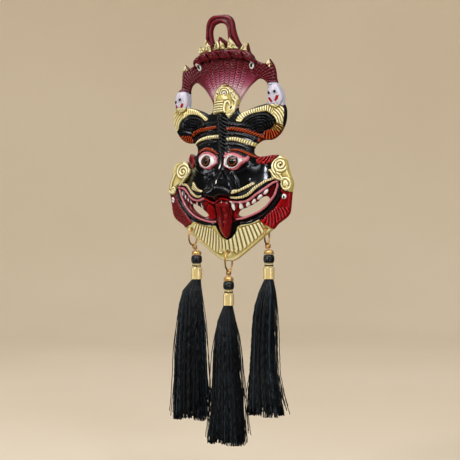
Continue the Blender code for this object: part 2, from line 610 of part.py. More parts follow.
def build_casting(collection, material):
    """The carved front, the hollow back and the edge walls between them, as one closed mesh."""
    loops = outline_loops()
    forms = form_surface()
    front_points, front_faces = triangulate(loops, feature_lines(), FILL_STEP)
    back_points, back_faces = triangulate(loops, [], BACK_STEP)
    mesh = bmesh.new()
    front_heights = casting_depths(front_points, forms)[0]
    back_heights = casting_depths(back_points, forms)[1]
    front = [mesh.verts.new(place(x, z, h)) for (x, z), h in zip(front_points, front_heights)]
    back = [mesh.verts.new(place(x, z, h)) for (x, z), h in zip(back_points, back_heights)]
    for face in front_faces:
        mesh.faces.new([front[k] for k in turned(face, front_points)])
    for face in back_faces:
        mesh.faces.new([back[k] for k in turned(face, back_points)[::-1]])
    for loop in loops:
        edge_front = [front[int(np.hypot(*(front_points - p).T).argmin())] for p in loop]
        edge_back = [back[int(np.hypot(*(back_points - p).T).argmin())] for p in loop]
        for k in range(len(loop)):
            after = (k + 1) % len(loop)
            mesh.faces.new([edge_front[k], edge_front[after], edge_back[after]])
            mesh.faces.new([edge_front[k], edge_back[after], edge_back[k]])
    bmesh.ops.recalc_face_normals(mesh, faces=mesh.faces)
    return add_object("mask_casting", mesh, collection, material)


def add_object(name, mesh, collection, material):
    data = bpy.data.meshes.new(name)
    mesh.to_mesh(data)
    mesh.free()
    data.materials.append(material)
    data.shade_smooth()
    data.set_sharp_from_angle(angle=math.radians(40))
    made = bpy.data.objects.new(name, data)
    collection.objects.link(made)
    return made


def wire_loop(name, route, radius, collection, material):
    """A closed loop of round wire along the route."""
    shape = bpy.data.curves.new(name, "CURVE")
    shape.dimensions = "3D"
    shape.bevel_depth = radius
    shape.bevel_resolution = 1
    spline = shape.splines.new("POLY")
    spline.points.add(len(route) - 1)
    for point, spot in zip(spline.points, route):
        point.co = (*spot, 1)
    spline.use_cyclic_u = True
    shape.materials.append(material)
    made = bpy.data.objects.new(name, shape)
    collection.objects.link(made)
    return made


def turned_piece(name, profile, top, collection, material):
    """A piece turned round a vertical axis: profile is (radius, height below the top), top to bottom."""
    data = bpy.data.meshes.new(name)
    spots = [(radius, 0, -down) for radius, down in profile]
    data.from_pydata(spots, [(k, k + 1) for k in range(len(spots) - 1)], [])
    data.materials.append(material)
    made = bpy.data.objects.new(name, data)
    made.location = top
    collection.objects.link(made)
    screw = made.modifiers.new("turned", "SCREW")
    screw.steps = TURNED_SIDES
    screw.render_steps = TURNED_SIDES
    screw.use_merge_vertices = True
    screw.merge_threshold = 0.00001
    screw.use_smooth_shade = True
    return made


def bulged(top_radius, radius, height, steps):
    """The outer line of a bulging turned piece, closed at the axis."""
    line = [(0, 0)]
    for k in range(steps + 1):
        swing = math.pi * k / steps
        line.append((top_radius + (radius - top_radius) * math.sin(swing), height * k / steps))
    return line + [(0, height)]


def build_tassel(side, hole, front, back, spacing, collection, materials):
    """One ring and tassel, from its hole in the collar down to the ends of its threads."""
    middle = place(hole[0], hole[1], (front + back) / 2)
    drop = Vector((0, 0, -1))
    turn_out = RING_TURNS[side]
    across = Vector((math.sin(turn_out), math.cos(turn_out), 0))
    ring_height = RING_DROP + edge_below(hole) * UNIT
    half_plate = (front - back) / 2 * UNIT / math.cos(turn_out)
    sag = ring_height / 2 * (1 - math.sqrt(1 - (2 * half_plate / RING_WIDTH) ** 2))
    ring_top = middle - drop * (sag / 2)
    ring = []
    for k in range(RING_POINTS):
        turn = 2 * math.pi * k / RING_POINTS
        ring.append(ring_top + across * (RING_WIDTH / 2 * math.sin(turn))
                    + drop * (ring_height / 2 * (1 - math.cos(turn))))
    wire_loop(f"jump_ring_{side}", ring, WIRE_RADIUS, collection, materials["gold wire"])
    ring_foot = ring_top + drop * ring_height
    eye_top = ring_foot - drop * (2 * WIRE_RADIUS + PIECE_GAP)
    eye_across = Vector((across.y, -across.x, 0))
    eye_hang = drop * EYE_HEIGHT + Vector((EYE_SWINGS[side], 0, 0))
    eye = []
    for k in range(EYE_POINTS):
        turn = 2 * math.pi * k / EYE_POINTS
        eye.append(eye_top + eye_across * (EYE_WIDTH / 2 * math.sin(turn))
                   + eye_hang * ((1 - math.cos(turn)) / 2))
    wire_loop(f"wire_eye_{side}", eye, WIRE_RADIUS, collection, materials["gold wire"])
    spot = eye_top + eye_hang + drop * (WIRE_RADIUS + PIECE_GAP)
    cap = bulged(0.4 * CAP_RADIUS, CAP_RADIUS, CAP_HEIGHT, 4)
    bead = bulged(0.5 * BEAD_RADIUS, BEAD_RADIUS, BEAD_HEIGHT, 6)
    spacer = bulged(0.8 * SPACER_RADIUS, SPACER_RADIUS, SPACER_HEIGHT, 2)
    sleeve = [(0, 0), (SLEEVE_RADIUS, 0), (SLEEVE_RADIUS, SLEEVE_HEIGHT), (0, SLEEVE_HEIGHT)]
    stack = [("bead_cap", cap, CAP_HEIGHT, "gold trim"), ("black_bead", bead, BEAD_HEIGHT, "black bead"),
             ("spacer_ring", spacer, SPACER_HEIGHT, "gold trim"),
             ("tassel_sleeve", sleeve, SLEEVE_HEIGHT, "gold trim")]
    for name, profile, height, material in stack:
        turned_piece(f"{name}_{side}", profile, spot, collection, materials[material])
        spot = spot + drop * (height + PIECE_GAP)
    build_skirt(side, spot, spacing - SKIRT_GAP, collection, materials["black silk"])


def edge_below(hole):
    """How far the collar's edge lies straight below a ring hole, in grid units."""
    outer = outline_loops()[0]
    crossings = []
    for (x0, z0), (x1, z1) in zip(outer, np.roll(outer, -1, axis=0)):
        if (x0 > hole[0]) != (x1 > hole[0]):
            crossings.append(z0 + (hole[0] - x0) * (z1 - z0) / (x1 - x0))
    return hole[1] - max(z for z in crossings if z < hole[1])


def build_skirt(side, top, width, collection, material):
    """The hanging threads as one soft solid, round at the neck and wide and flat at the foot."""
    mesh = bmesh.new()
    levels = []
    for level in range(SKIRT_LEVELS + 1):
        down = level / SKIRT_LEVELS
        spread = 1 - (1 - down) ** SKIRT_FLARE
        half_width = SKIRT_NECK_RADIUS + (width / 2 - SKIRT_NECK_RADIUS) * (0.86 * spread + 0.14 * down)
        half_depth = SKIRT_NECK_RADIUS + (SKIRT_DEPTH / 2 - SKIRT_NECK_RADIUS) * spread
        sway = SKIRT_SWAYS[side] * soft_step(down)
        centre = top + Vector((sway, SKIRT_NECK_RADIUS - half_depth, -SKIRT_LENGTHS[side] * down))
        edge = ellipse(0, 0, half_width, half_depth, SKIRT_SIDES)
        levels.append([mesh.verts.new(centre + Vector((x, y, 0))) for x, y in edge])
    for upper, lower in zip(levels, levels[1:]):
        for k in range(SKIRT_SIDES):
            after = (k + 1) % SKIRT_SIDES
            mesh.faces.new([upper[k], lower[k], lower[after], upper[after]])
    mesh.faces.new(levels[0])
    mesh.faces.new(levels[-1][::-1])
    bmesh.ops.recalc_face_normals(mesh, faces=mesh.faces)
    add_object(f"tassel_skirt_{side}", mesh, collection, material)


def main():
    clear_scene()
    collection = bpy.data.collections.new("evil_eye_wall_mask")
    bpy.context.scene.collection.children.link(collection)
    materials = {name: make_material(name) for name in MATERIALS}
    build_casting(collection, materials["painted casting"])
    forms = form_surface()
    spacing = SIDE_RING_HOLE[0] * UNIT
    for side, hole in zip(("left", "centre", "right"), ring_holes()):
        front, back = casting_depths(np.array([hole], float), forms)
        build_tassel(side, hole, front[0], back[0], spacing, collection, materials)


main()
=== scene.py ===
# %% [markdown]
# A painted cast wall mask against the evil eye, with three silk tassels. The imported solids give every
# size and place. This lesson dresses them: one finely carved and painted casting, gold wire rings, caps,
# beads and sleeves, and skirts of single threads. It starts by loading the solids as a fixed frame.

# %% Load the solids and measure them
import math

import bmesh
import bpy
import numpy as np
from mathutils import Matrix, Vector
from mathutils.geometry import delaunay_2d_cdt
from mathutils.kdtree import KDTree


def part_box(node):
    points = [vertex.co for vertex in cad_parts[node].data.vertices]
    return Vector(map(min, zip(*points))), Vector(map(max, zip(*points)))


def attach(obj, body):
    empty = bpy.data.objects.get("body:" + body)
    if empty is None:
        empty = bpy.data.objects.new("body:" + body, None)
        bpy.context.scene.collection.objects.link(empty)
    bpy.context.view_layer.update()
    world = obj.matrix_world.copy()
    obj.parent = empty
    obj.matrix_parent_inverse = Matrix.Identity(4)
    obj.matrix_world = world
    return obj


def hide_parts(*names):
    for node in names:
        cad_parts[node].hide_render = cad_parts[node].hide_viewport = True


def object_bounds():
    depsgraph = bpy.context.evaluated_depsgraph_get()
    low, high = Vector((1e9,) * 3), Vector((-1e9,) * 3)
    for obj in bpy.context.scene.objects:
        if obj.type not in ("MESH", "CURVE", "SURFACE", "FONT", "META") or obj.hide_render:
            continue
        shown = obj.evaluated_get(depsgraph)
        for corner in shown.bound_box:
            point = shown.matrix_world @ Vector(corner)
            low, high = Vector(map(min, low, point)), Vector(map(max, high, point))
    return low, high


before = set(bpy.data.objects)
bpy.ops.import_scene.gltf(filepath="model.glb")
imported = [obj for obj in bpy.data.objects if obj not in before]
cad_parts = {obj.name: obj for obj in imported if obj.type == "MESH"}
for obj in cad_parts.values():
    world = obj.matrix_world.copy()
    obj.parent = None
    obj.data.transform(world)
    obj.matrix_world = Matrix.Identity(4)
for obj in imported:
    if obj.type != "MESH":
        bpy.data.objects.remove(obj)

cad_box = [list(corner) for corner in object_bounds()]
print("solids span", [round(high - low, 4) for low, high in zip(*cad_box)])

# %% [markdown]
# The camera stands level with the middle of the mask and 25 degrees to the right of its front, with a long
# lens. The mask hangs free in a studio: a wide round cove of pale card closes the view on every side, and
# it meets a flat floor below the tassels.

# %% Camera
VIEW_ANGLE = math.radians(25)
VIEW_DISTANCE = 1.3
VIEW_TARGET = Vector((0.0008, 0, -0.1958))
camera_data = bpy.data.cameras.new("camera")
camera_data.sensor_width = 36
camera_data.lens = 106
camera = bpy.data.objects.new("camera", camera_data)
camera.location = VIEW_TARGET + VIEW_DISTANCE * Vector((math.sin(VIEW_ANGLE), -math.cos(VIEW_ANGLE), 0))
camera.rotation_euler = (math.pi / 2, 0, VIEW_ANGLE)
bpy.context.scene.collection.objects.link(camera)
bpy.context.scene.camera = camera
print("camera at", [round(c, 3) for c in camera.location])

# %% [markdown]
# Colours are written as sRGB hex codes, as a paint chart gives them, and one function turns them into the
# linear values that Blender mixes. Another adds a node with its settings and links, so that a material
# reads as a short list. Two more start a material with the typical values of its kind, and finish it.


# %% Colours and nodes
def linear(code):
    """An sRGB hex colour as linear red, green, blue and alpha."""
    values = [int(code[k:k + 2], 16) / 255 for k in (1, 3, 5)]
    return (*[v / 12.92 if v <= 0.04045 else ((v + 0.055) / 1.055) ** 2.4 for v in values], 1)


def add(material, kind, settings=None, links=None):
    """Adds a node with its settings and links. A setting named stops fills a colour ramp."""
    node = material.node_tree.nodes.new(kind)
    for name, value in (settings or {}).items():
        if name == "stops":
            while len(node.color_ramp.elements) < len(value):
                node.color_ramp.elements.new(0.5)
            for element, (spot, code) in zip(node.color_ramp.elements, value):
                element.position = spot
                element.color = linear(code)
        elif isinstance(name, int) or name in node.inputs:
            node.inputs[name].default_value = value
        else:
            setattr(node, name, value)
    for name, source in (links or {}).items():
        material.node_tree.links.new(source, node.inputs[name])
    return node


def start_material(name, **settings):
    """A new material, its shader with the given values, and its Object coordinates."""
    material = bpy.data.materials.new(name)
    material.use_nodes = True
    shader = material.node_tree.nodes["Principled BSDF"]
    for setting, value in settings.items():
        shader.inputs[setting.replace("_", " ")].default_value = value
    place = add(material, "ShaderNodeTexCoord").outputs["Object"]
    return material, shader, place


def finish_material(material, shader, tint, source, roughness, bump=None):
    """Gives the shader its colour, and a roughness and maybe a bump that vary with the source."""
    link = material.node_tree.links.new
    link(tint, shader.inputs["Base Color"])
    shine = add(material, "ShaderNodeMapRange", {"To Min": roughness[0], "To Max": roughness[1]},
                {"Value": source})
    link(shine.outputs["Result"], shader.inputs["Roughness"])
    if bump:
        waves = add(material, "ShaderNodeBump", {"Strength": bump[0], "Distance": bump[1] * MM},
                    {"Height": source})
        link(waves.outputs["Normal"], shader.inputs["Normal"])
    return material


MM = 0.001
print("pure red is", [round(c, 3) for c in linear("#ff0000")])

# %% [markdown]
# The cove is matt painted card. Card scatters light evenly, so it has a high roughness and no bump. A
# turned profile makes it in one sweep: a flat floor, a round corner and an upright wall 3 m away.

# %% Floor and cove
COVE_RADIUS = 3.0
COVE_CORNER = 1.0
COVE_HEIGHT = 3.6
FLOOR_DROP = 0.06
FLOOR_Z = cad_box[0][2] - FLOOR_DROP


def pale_card():
    material, shader, place = start_material("matt card", Roughness=0.9)
    mottle = add(material, "ShaderNodeTexNoise", {"Scale": 1 / (600 * MM), "Detail": 2.0}, {"Vector": place})
    colour = add(material, "ShaderNodeValToRGB", {"stops": [(0.3, "#d6cbb8"), (0.7, "#dbd1c0")]},
                 {"Fac": mottle.outputs["Fac"]})
    material.node_tree.links.new(colour.outputs["Color"], shader.inputs["Base Color"])
    return material


def build_cove():
    profile = [(0.001, FLOOR_Z)]
    corner_steps = 12
    for k in range(corner_steps + 1):
        turn = math.pi / 2 * k / corner_steps
        profile.append((COVE_RADIUS - COVE_CORNER + COVE_CORNER * math.sin(turn),
                        FLOOR_Z + COVE_CORNER - COVE_CORNER * math.cos(turn)))
    profile.append((COVE_RADIUS, FLOOR_Z + COVE_HEIGHT))
    data = bpy.data.meshes.new("cove")
    sides = 96
    spots = [(r * math.cos(2 * math.pi * s / sides), r * math.sin(2 * math.pi * s / sides), z)
             for r, z in profile for s in range(sides)]
    faces = [(row * sides + s, row * sides + (s + 1) % sides,
              (row + 1) * sides + (s + 1) % sides, (row + 1) * sides + s)
             for row in range(len(profile) - 1) for s in range(sides)]
    data.from_pydata(spots, [], faces)
    data.shade_smooth()
    data.materials.append(pale_card())
    made = bpy.data.objects.new("cove", data)
    bpy.context.scene.collection.objects.link(made)
    return made


cove = build_cove()
print("floor at", round(FLOOR_Z, 3))

# %% [markdown]
# The light is that of a small studio. Two small lamps from above draw sharp glints on the enamel. A long
# lamp overhead and two tall strips draw cool edges beside them, and a weak lamp behind shows the back. Six
# wide lamps face the cove. Gloss sees a dim room that is brighter overhead instead of the pale cove,
# because wide reflections would turn the black enamel grey.


# %% Lights
ROOM_STRENGTH = 0.5


def area_light(name, place, target, size, power, code):
    data = bpy.data.lights.new(name, "AREA")
    data.shape = "RECTANGLE"
    data.size, data.size_y = size
    data.energy = power
    data.color = linear(code)[:3]
    light = bpy.data.objects.new(name, data)
    light.location = place
    light.rotation_euler = (Vector(target) - Vector(place)).to_track_quat("-Z", "Y").to_euler()
    bpy.context.scene.collection.objects.link(light)


area_light("key", (-0.45, -1.4, 0.85), (0, 0, -0.15), (0.3, 0.3), 10, "#fff8ee")
area_light("second", (1.05, -1.2, 0.6), (0, 0, -0.15), (0.22, 0.22), 6, "#f4f7ff")
area_light("top", (0.3, -0.8, 1.3), (0, 0, -0.15), (1.5, 0.14), 6.5, "#e8f0ff")
area_light("left strip", (-1.35, -0.75, -0.15), (0, 0, -0.2), (0.14, 1.1), 2.8, "#eef4ff")
area_light("right strip", (1.55, -0.75, -0.1), (0, 0, -0.2), (0.12, 1.1), 3.0, "#eef4ff")
area_light("rear", (-0.9, 1.5, 1.7), (0, 0, -0.15), (0.9, 0.9), 5, "#ffffff")
for turn in range(0, 360, 60):
    outward = Vector((math.sin(math.radians(turn)), math.cos(math.radians(turn)), 0))
    area_light(f"backdrop {turn}", outward * 1.2 + Vector((0, 0, 2.3)), outward * 3 + Vector((0, 0, -0.2)),
               (1.0, 0.6), 11, "#fbf2e2")
world = bpy.data.worlds.new("studio")
world.use_nodes = True
heading = add(world, "ShaderNodeTexCoord").outputs["Generated"]
upward = add(world, "ShaderNodeSeparateXYZ", None, {"Vector": heading}).outputs["Z"]
rise = add(world, "ShaderNodeMapRange", {"From Min": -1.0}, {"Value": upward})
sky = add(world, "ShaderNodeValToRGB",
          {"stops": [(0.35, "#4a4540"), (0.55, "#504c48"), (0.75, "#84868a"), (1.0, "#f2f4f8")]},
          {"Fac": rise.outputs["Result"]})
world.node_tree.links.new(sky.outputs["Color"], world.node_tree.nodes["Background"].inputs["Color"])
world.node_tree.nodes["Background"].inputs["Strength"].default_value = ROOM_STRENGTH
cove.visible_glossy = False
bpy.context.scene.world = world
bpy.context.scene.view_settings.view_transform = "Standard"

# %% [markdown]
# The casting is a relief: over each spot of its outline it has one height. So it is drawn as a plan, in
# units of about a millimetre, and heights are worked out over the plan. The large forms come first. They
# are a smooth sheet through named spots, the same ones that the solid model was made from.

# %% Sizes and large forms of the casting
CASTING_HEIGHT = 0.2335
DRAWN_HEIGHT = 233.5
UNIT = CASTING_HEIGHT / DRAWN_HEIGHT
LEAN = math.radians(0.9)
METAL_WALL = 4.0
BACK_LAND = 1.8
LAND_SLOPE = 2.0
FORMS = {
    "loop top": (0, 4, 22), "loop side": (12, -8, 21.5), "loop foot": (14, -20, 18.5),
    "crown end": (25, -24, 12.5), "hood brow": (0, -30, 17), "hood side": (20, -31, 14),
    "hood end": (29, -36, 12), "fan top": (0, -42, 12.5), "fan side": (18, -45, 11.5),
    "fan flank": (26, -52, 9), "fan foot": (0, -56, 13.5), "fan low side": (16, -66, 10),
    "arm root": (34, -43, 9), "arm bend": (44, -44, 7), "arm end": (46, -56, 5.5),
    "head top": (47, -60, 5), "head foot": (50, -80, 5), "boss middle": (0, -72, 16),
    "boss side": (12, -76, 11.5), "boss foot": (0, -86, 19), "boss foot side": (11, -86, 15),
    "lobe root": (17, -90, 15), "lobe top": (30, -83, 9.5), "lobe shoulder": (44, -80, 6.5),
    "lobe end": (57, -88, 5), "lobe heart": (37, -95, 9.5), "lobe tail": (44, -109, 4.5),
    "forehead": (0, -100, 21), "forehead side": (18, -100, 17), "temple top": (32, -104, 9.5),
    "brow middle": (0, -116, 23.5), "brow side": (15, -116, 21), "temple": (29, -114, 12.5),
    "eye": (14, -131, 26), "eye inner": (3, -130, 27), "eye outer": (27, -129, 20),
    "temple edge": (30, -121, 13), "ear": (38, -129, 7.5), "bridge": (0, -140, 30),
    "nose": (0, -155, 33), "nose flank": (9, -147, 28), "cheek": (22, -146, 23),
    "cheek side": (34, -142, 14), "cheek edge": (44, -145, 8), "roundel": (51, -138, 5.5),
    "roundel outer": (60, -145, 4.5), "upper lip": (0, -168, 26), "lip side": (18, -167, 24),
    "lip far": (34, -161, 17), "lip corner": (51, -152, 7), "moustache": (25, -156, 22),
    "gum": (9, -177, 19), "gum side": (26, -172, 15), "gum far": (42, -162, 10),
    "lower lip": (10, -188, 16), "lower lip side": (30, -183, 12), "lower lip far": (45, -171, 9),
    "chin": (0, -198, 15), "chin side": (30, -189, 10.5), "jaw": (47, -177, 7.5),
    "jaw edge": (56, -160, 6), "bird": (59, -171, 4.5), "bird foot": (48, -189, 5.5),
    "collar": (0, -210, 12), "collar side": (20, -198, 11), "collar low": (22, -212, 9),
    "collar corner": (42, -195, 7.4), "collar point": (0, -224, 9.5),
}


def form_surface():
    """The smooth sheet through FORMS, as a function from points to heights."""
    spots = []
    heights = []
    for x, z, height in FORMS.values():
        for side in ((x, z),) if x == 0 else ((x, z), (-x, z)):
            spots.append(side)
            heights.append(height)
    spots = np.array(spots, float)

    def bending(at):
        squared = ((at[:, None, :] - spots[None]) ** 2).sum(2)
        return squared * np.log(squared + 1e-9)

    count = len(spots)
    plane = np.hstack([np.ones((count, 1)), spots])
    system = np.zeros((count + 3, count + 3))
    system[:count, :count] = bending(spots)
    system[:count, count:] = plane
    system[count:, :count] = plane.T
    weights = np.linalg.solve(system, np.concatenate([heights, np.zeros(3)]))
    return lambda at: bending(at) @ weights[:count] + weights[count] + at @ weights[count + 1:]


forms = form_surface()
print("sheet through", len(FORMS), "named spots")

# %% [markdown]
# Lines on the plan could be Bezier curves. A smooth curve that passes through every one of its points is
# easier to draw, so that is the first tool. Straight runs, ovals and mirror images follow.


# %% Lines on the plan
def curve(points, step, closed=False):
    """A smooth line through the points, with a new point about every step."""
    points = [np.array(p, float) for p in points]
    count = len(points)
    spans = count if closed else count - 1
    line = []
    for i in range(spans):
        start = points[i]
        end = points[(i + 1) % count]
        before = points[i - 1] if closed or i > 0 else 2 * start - end
        after = points[(i + 2) % count] if closed or i + 2 < count else 2 * end - start
        bend = 2 * before - 5 * start + 4 * end - after
        twist = 3 * start - before - 3 * end + after
        pieces = max(1, round(np.linalg.norm(end - start) / step))
        for k in range(pieces):
            t = k / pieces
            line.append(0.5 * (2 * start + (end - before) * t + bend * t ** 2 + twist * t ** 3))
    if not closed:
        line.append(points[-1])
    return np.array(line)


def polygon(points, step):
    """A closed line of straight runs, with a new point about every step."""
    line = []
    for start, end in zip(points, points[1:] + points[:1]):
        pieces = max(1, round(math.dist(start, end) / step))
        line += [np.array(start) + (np.array(end) - np.array(start)) * k / pieces for k in range(pieces)]
    return np.array(line, float)


def mirrored(points):
    return [(-x, z) for x, z in points]


def ellipse(x, z, half_width, half_height, count, turned=0.0):
    turns = [2 * math.pi * k / count for k in range(count)]
    spots = [(half_width * math.cos(t), half_height * math.sin(t)) for t in turns]
    lean_x, lean_z = math.cos(turned), math.sin(turned)
    return [(x + a * lean_x - b * lean_z, z + a * lean_z + b * lean_x) for a, b in spots]


def beside(line, offset):
    """The line that runs beside an open line, to the left for a positive offset."""
    along = np.gradient(np.asarray(line, float), axis=0)
    across = np.column_stack([-along[:, 1], along[:, 0]]) / np.linalg.norm(along, axis=1)[:, None]
    return line + np.asarray(offset).reshape(-1, 1) * across


print("a curve through four points", len(curve([(0, 0), (5, 2), (9, 0), (12, 4)], 1.0)), "points")

# %% [markdown]
# Carving is worked out for thousands of points at once, so the next tools take whole arrays: the distance
# from points to a line, a test for what lies inside a loop, and a soft step between 0 and 1.


# %% Distances and insides
def follow(line, at, closed=False):
    """For each point its distance to the line, its way along it, and its signed distance to one side."""
    line = np.asarray(line, float)
    ends = np.vstack([line[1:], line[:1]]) if closed else line[1:]
    starts = line if closed else line[:-1]
    best = np.full(len(at), 1e9)
    along = np.zeros(len(at))
    side = np.zeros(len(at))
    travelled = 0.0
    for start, end in zip(starts, ends):
        span = end - start
        length = math.hypot(*span)
        if length == 0:
            continue
        from_start = at - start
        share = np.clip((from_start @ span) / (length * length), 0, 1)
        away = np.hypot(*(from_start - share[:, None] * span).T)
        nearer = away < best
        best[nearer] = away[nearer]
        along[nearer] = travelled + share[nearer] * length
        side[nearer] = (from_start[nearer, 0] * span[1] - from_start[nearer, 1] * span[0]) / length
        travelled += length
    return best, along, side


def near(line, at, reach):
    """Numbers of the points in the line's box, widened by the reach."""
    low = np.min(line, 0) - reach
    high = np.max(line, 0) + reach
    return np.flatnonzero(((at >= low) & (at <= high)).all(1))


def inside(loop, at):
    """Which points lie inside the closed loop."""
    loop = np.asarray(loop, float)
    within = np.zeros(len(at), bool)
    x, z = at[:, 0], at[:, 1]
    for (x0, z0), (x1, z1) in zip(loop, np.roll(loop, -1, axis=0)):
        if z0 == z1:
            continue
        crosses = (z0 > z) != (z1 > z)
        within ^= crosses & (x < x0 + (z - z0) * (x1 - x0) / (z1 - z0))
    return within


def soft_step(t):
    t = np.clip(t, 0, 1)
    return t * t * (3 - 2 * t)


print("soft step at a quarter", float(soft_step(0.25)))

# %% [markdown]
# The outline and the openings are smooth runs that meet at corners, again as in the solid. The outline's
# two halves differ only at the ears, a twisted strip on the right and a leaf on the left. The two openings
# of the mouth have shapes of their own.

# %% Outline and openings
OUTLINE_ABOVE_EAR = [
    [(0, 8), (7.5, 7.4), (12, 4.2), (14, 0), (14.9, -6), (16, -12), (17.5, -17.5), (19.3, -22)],
    [(19.3, -22), (24.6, -19.6)],
    [(24.6, -19.6), (26.2, -27.5), (29.3, -31.5), (31.2, -35.4), (35.5, -38), (39.7, -39.3)],
    [(39.7, -39.3), (44.6, -35.2)],
    [(44.6, -35.2), (47.5, -40.5), (48.8, -47), (49.3, -53), (50.4, -58)],
    [(50.4, -58), (53.8, -62), (56.2, -67), (57.5, -72.5), (57, -78)],
    [(57, -78), (58.8, -82.5), (59, -89), (58, -95), (55.8, -100.5), (52.5, -105.5),
     (48, -109.3), (43, -111.2), (37.5, -111.3), (33.5, -113.3), (30.6, -116.5), (29, -120.5)],
]
RIGHT_EAR_EDGE = [[(29, -120.5), (30, -124.5), (33.5, -127), (39, -126.7), (45, -125.6), (50, -125.6)],
                  [(50, -125.6), (54.5, -127.2)],
                  [(54.5, -127.2), (58.5, -131.2), (60.2, -137)]]
LEFT_EAR_EDGE = [[(29, -120.5), (29.8, -123), (32.5, -124.5)],
                 [(32.5, -124.5), (37.5, -122.6), (40.6, -121.6)],
                 [(40.6, -121.6), (42.7, -125.5), (42.6, -129.6)],
                 [(42.6, -129.6), (47, -128.6), (54.5, -129.6)],
                 [(54.5, -129.6), (58.5, -131.2), (60.2, -137)]]
OUTLINE_BELOW_EAR = [
    [(60.2, -137), (61.5, -143), (64, -149), (64.9, -154), (63.6, -160.4)],
    [(63.6, -160.4), (62.6, -169), (61.2, -179.5), (58, -184.5), (52.5, -188.3), (48.4, -191.2),
     (45.2, -195.2)],
    [(45.2, -195.2), (36.5, -202.4), (26.5, -210.3), (16, -218.5), (8.5, -223.6), (4, -225.3), (0, -225.5)],
]
LOOP_HOLE = [[(7.4, -18.8), (8.1, -12), (7.7, -6), (5.2, -1.6), (0, 0), (-5.2, -1.6), (-7.7, -6),
              (-8.1, -12), (-7.0, -19.6)], [(-7.0, -19.6), (0.6, -13.4)], [(0.6, -13.4), (7.4, -18.8)]]
ARM_HOLE = [(32.5, -53.2), (28.3, -55.8), (23.5, -60), (19.5, -65), (15.8, -70.5), (13.4, -75.5),
            (12.9, -80.5), (14.4, -84.2), (17.6, -84.8), (22, -83), (27, -80.9), (32.5, -79),
            (38, -77.6), (41.3, -76), (41.3, -70), (41.6, -64), (41.4, -59.5), (39.5, -56),
            (36.3, -53.8)]
RIGHT_MOUTH_HOLE = [(13.3, -181), (16, -177.3), (21, -175.2), (27, -172.3), (32.8, -169),
                    (37.5, -165.3), (41.5, -164.8), (43.6, -168), (41.3, -172.2), (36, -176.4),
                    (29, -180), (21, -182.9), (15.6, -183.2)]
LEFT_MOUTH_HOLE = [(-17.5, -181.6), (-21, -177.8), (-25.8, -174.3), (-31, -171.2), (-35.6, -169.8),
                   (-37.4, -172.6), (-34.2, -177), (-29, -180.6), (-22.8, -182.9)]
SIDE_RING_HOLE = (39, -194.6)
CENTRE_RING_HOLE = (0, -216.8)
RING_HOLE_RADIUS = 1.7
EDGE_STEP = 0.6


def join_runs(runs, step):
    """One closed line from smooth runs that meet at corners."""
    return np.vstack([curve(run, step)[:-1] for run in runs])


def ring_holes():
    x, z = SIDE_RING_HOLE
    return {"left": (-x, z), "centre": CENTRE_RING_HOLE, "right": (x, z)}


def outline_loops(step):
    """The outer edge and every opening, as closed lines."""
    right = OUTLINE_ABOVE_EAR + RIGHT_EAR_EDGE + OUTLINE_BELOW_EAR
    left = OUTLINE_ABOVE_EAR + LEFT_EAR_EDGE + OUTLINE_BELOW_EAR
    runs = right + [mirrored(run)[::-1] for run in reversed(left)]
    loops = [join_runs(runs, step), join_runs(LOOP_HOLE, step)]
    for hole in (ARM_HOLE, mirrored(ARM_HOLE), RIGHT_MOUTH_HOLE, LEFT_MOUTH_HOLE):
        loops.append(curve(hole, step, closed=True))
    for x, z in ring_holes().values():
        loops.append(np.array(ellipse(x, z, RING_HOLE_RADIUS, RING_HOLE_RADIUS, 20)))
    return loops


LOOPS = outline_loops(EDGE_STEP)
print("edge points", [len(loop) for loop in LOOPS])

# %% [markdown]
# Carving and paint are laid down together, in the order in which a painter works. Each layer may raise or
# sink the metal, and may give it a finish. There are four kinds. An area is a closed shape, a ribbon
# follows a line and may be notched like rope, a dot is an oval, and ribs fill an area with fine ridges.

# %% Layers of carving and paint
LAYERS = []
PAINT_STEP = 0.7
LINE_STEP = 1.6
SPIRAL_STEPS = 14


def area(finish, points, rise=0.0, bevel=2.0, smooth=True):
    loop = curve(points, PAINT_STEP, closed=True) if smooth else polygon(points, PAINT_STEP)
    LAYERS.append({"kind": "area", "finish": finish, "loop": loop, "rise": rise, "bevel": bevel})


def ribbon(finish, points, widths, rise, pitch=0.0, slant=0.0, cut=0.4):
    """A raised line. The half widths are spread evenly along it. The pitch notches it like rope."""
    line = curve(points, LINE_STEP)
    edge = curve(points, PAINT_STEP)
    share = np.linspace(0, 1, len(edge))
    half = np.interp(share, np.linspace(0, 1, len(widths)), widths)
    loop = np.vstack([beside(edge, half), beside(edge, -half)[::-1]])
    LAYERS.append({"kind": "ribbon", "finish": finish, "loop": loop, "line": line, "widths": widths,
                   "rise": rise, "pitch": pitch, "slant": slant, "cut": cut})


def dot(finish, x, z, half_width, half_height, rise, turned=0.0):
    """A domed oval, turned by some degrees."""
    count = max(10, round(2 * math.pi * max(half_width, half_height) / PAINT_STEP))
    loop = np.array(ellipse(x, z, half_width, half_height, count, math.radians(turned)))
    LAYERS.append({"kind": "dot", "finish": finish, "loop": loop, "rise": rise,
                   "turned": math.radians(turned), "oval": (x, z, half_width, half_height)})


def ribs(points, spine, pitch, depth, across=True, slant=0.0):
    """Fine ridges inside the outline, across the spine or beside it."""
    LAYERS.append({"kind": "ribs", "finish": None, "loop": curve(points, LINE_STEP, closed=True),
                   "line": curve(spine, LINE_STEP), "pitch": pitch, "depth": depth, "across": across,
                   "slant": slant})


def spiral(x, z, inner, outer, turns, start, squeeze=1.0):
    """Points along a spiral, from its inner end, which lies at the start in degrees."""
    count = max(8, round(turns * SPIRAL_STEPS))
    line = []
    for k in range(count + 1):
        share = k / count
        turn = math.radians(start) + 2 * math.pi * turns * share
        radius = inner + (outer - inner) * share
        line.append((x + radius * squeeze * math.cos(turn), z + radius * math.sin(turn)))
    return line


print("layers", len(LAYERS))

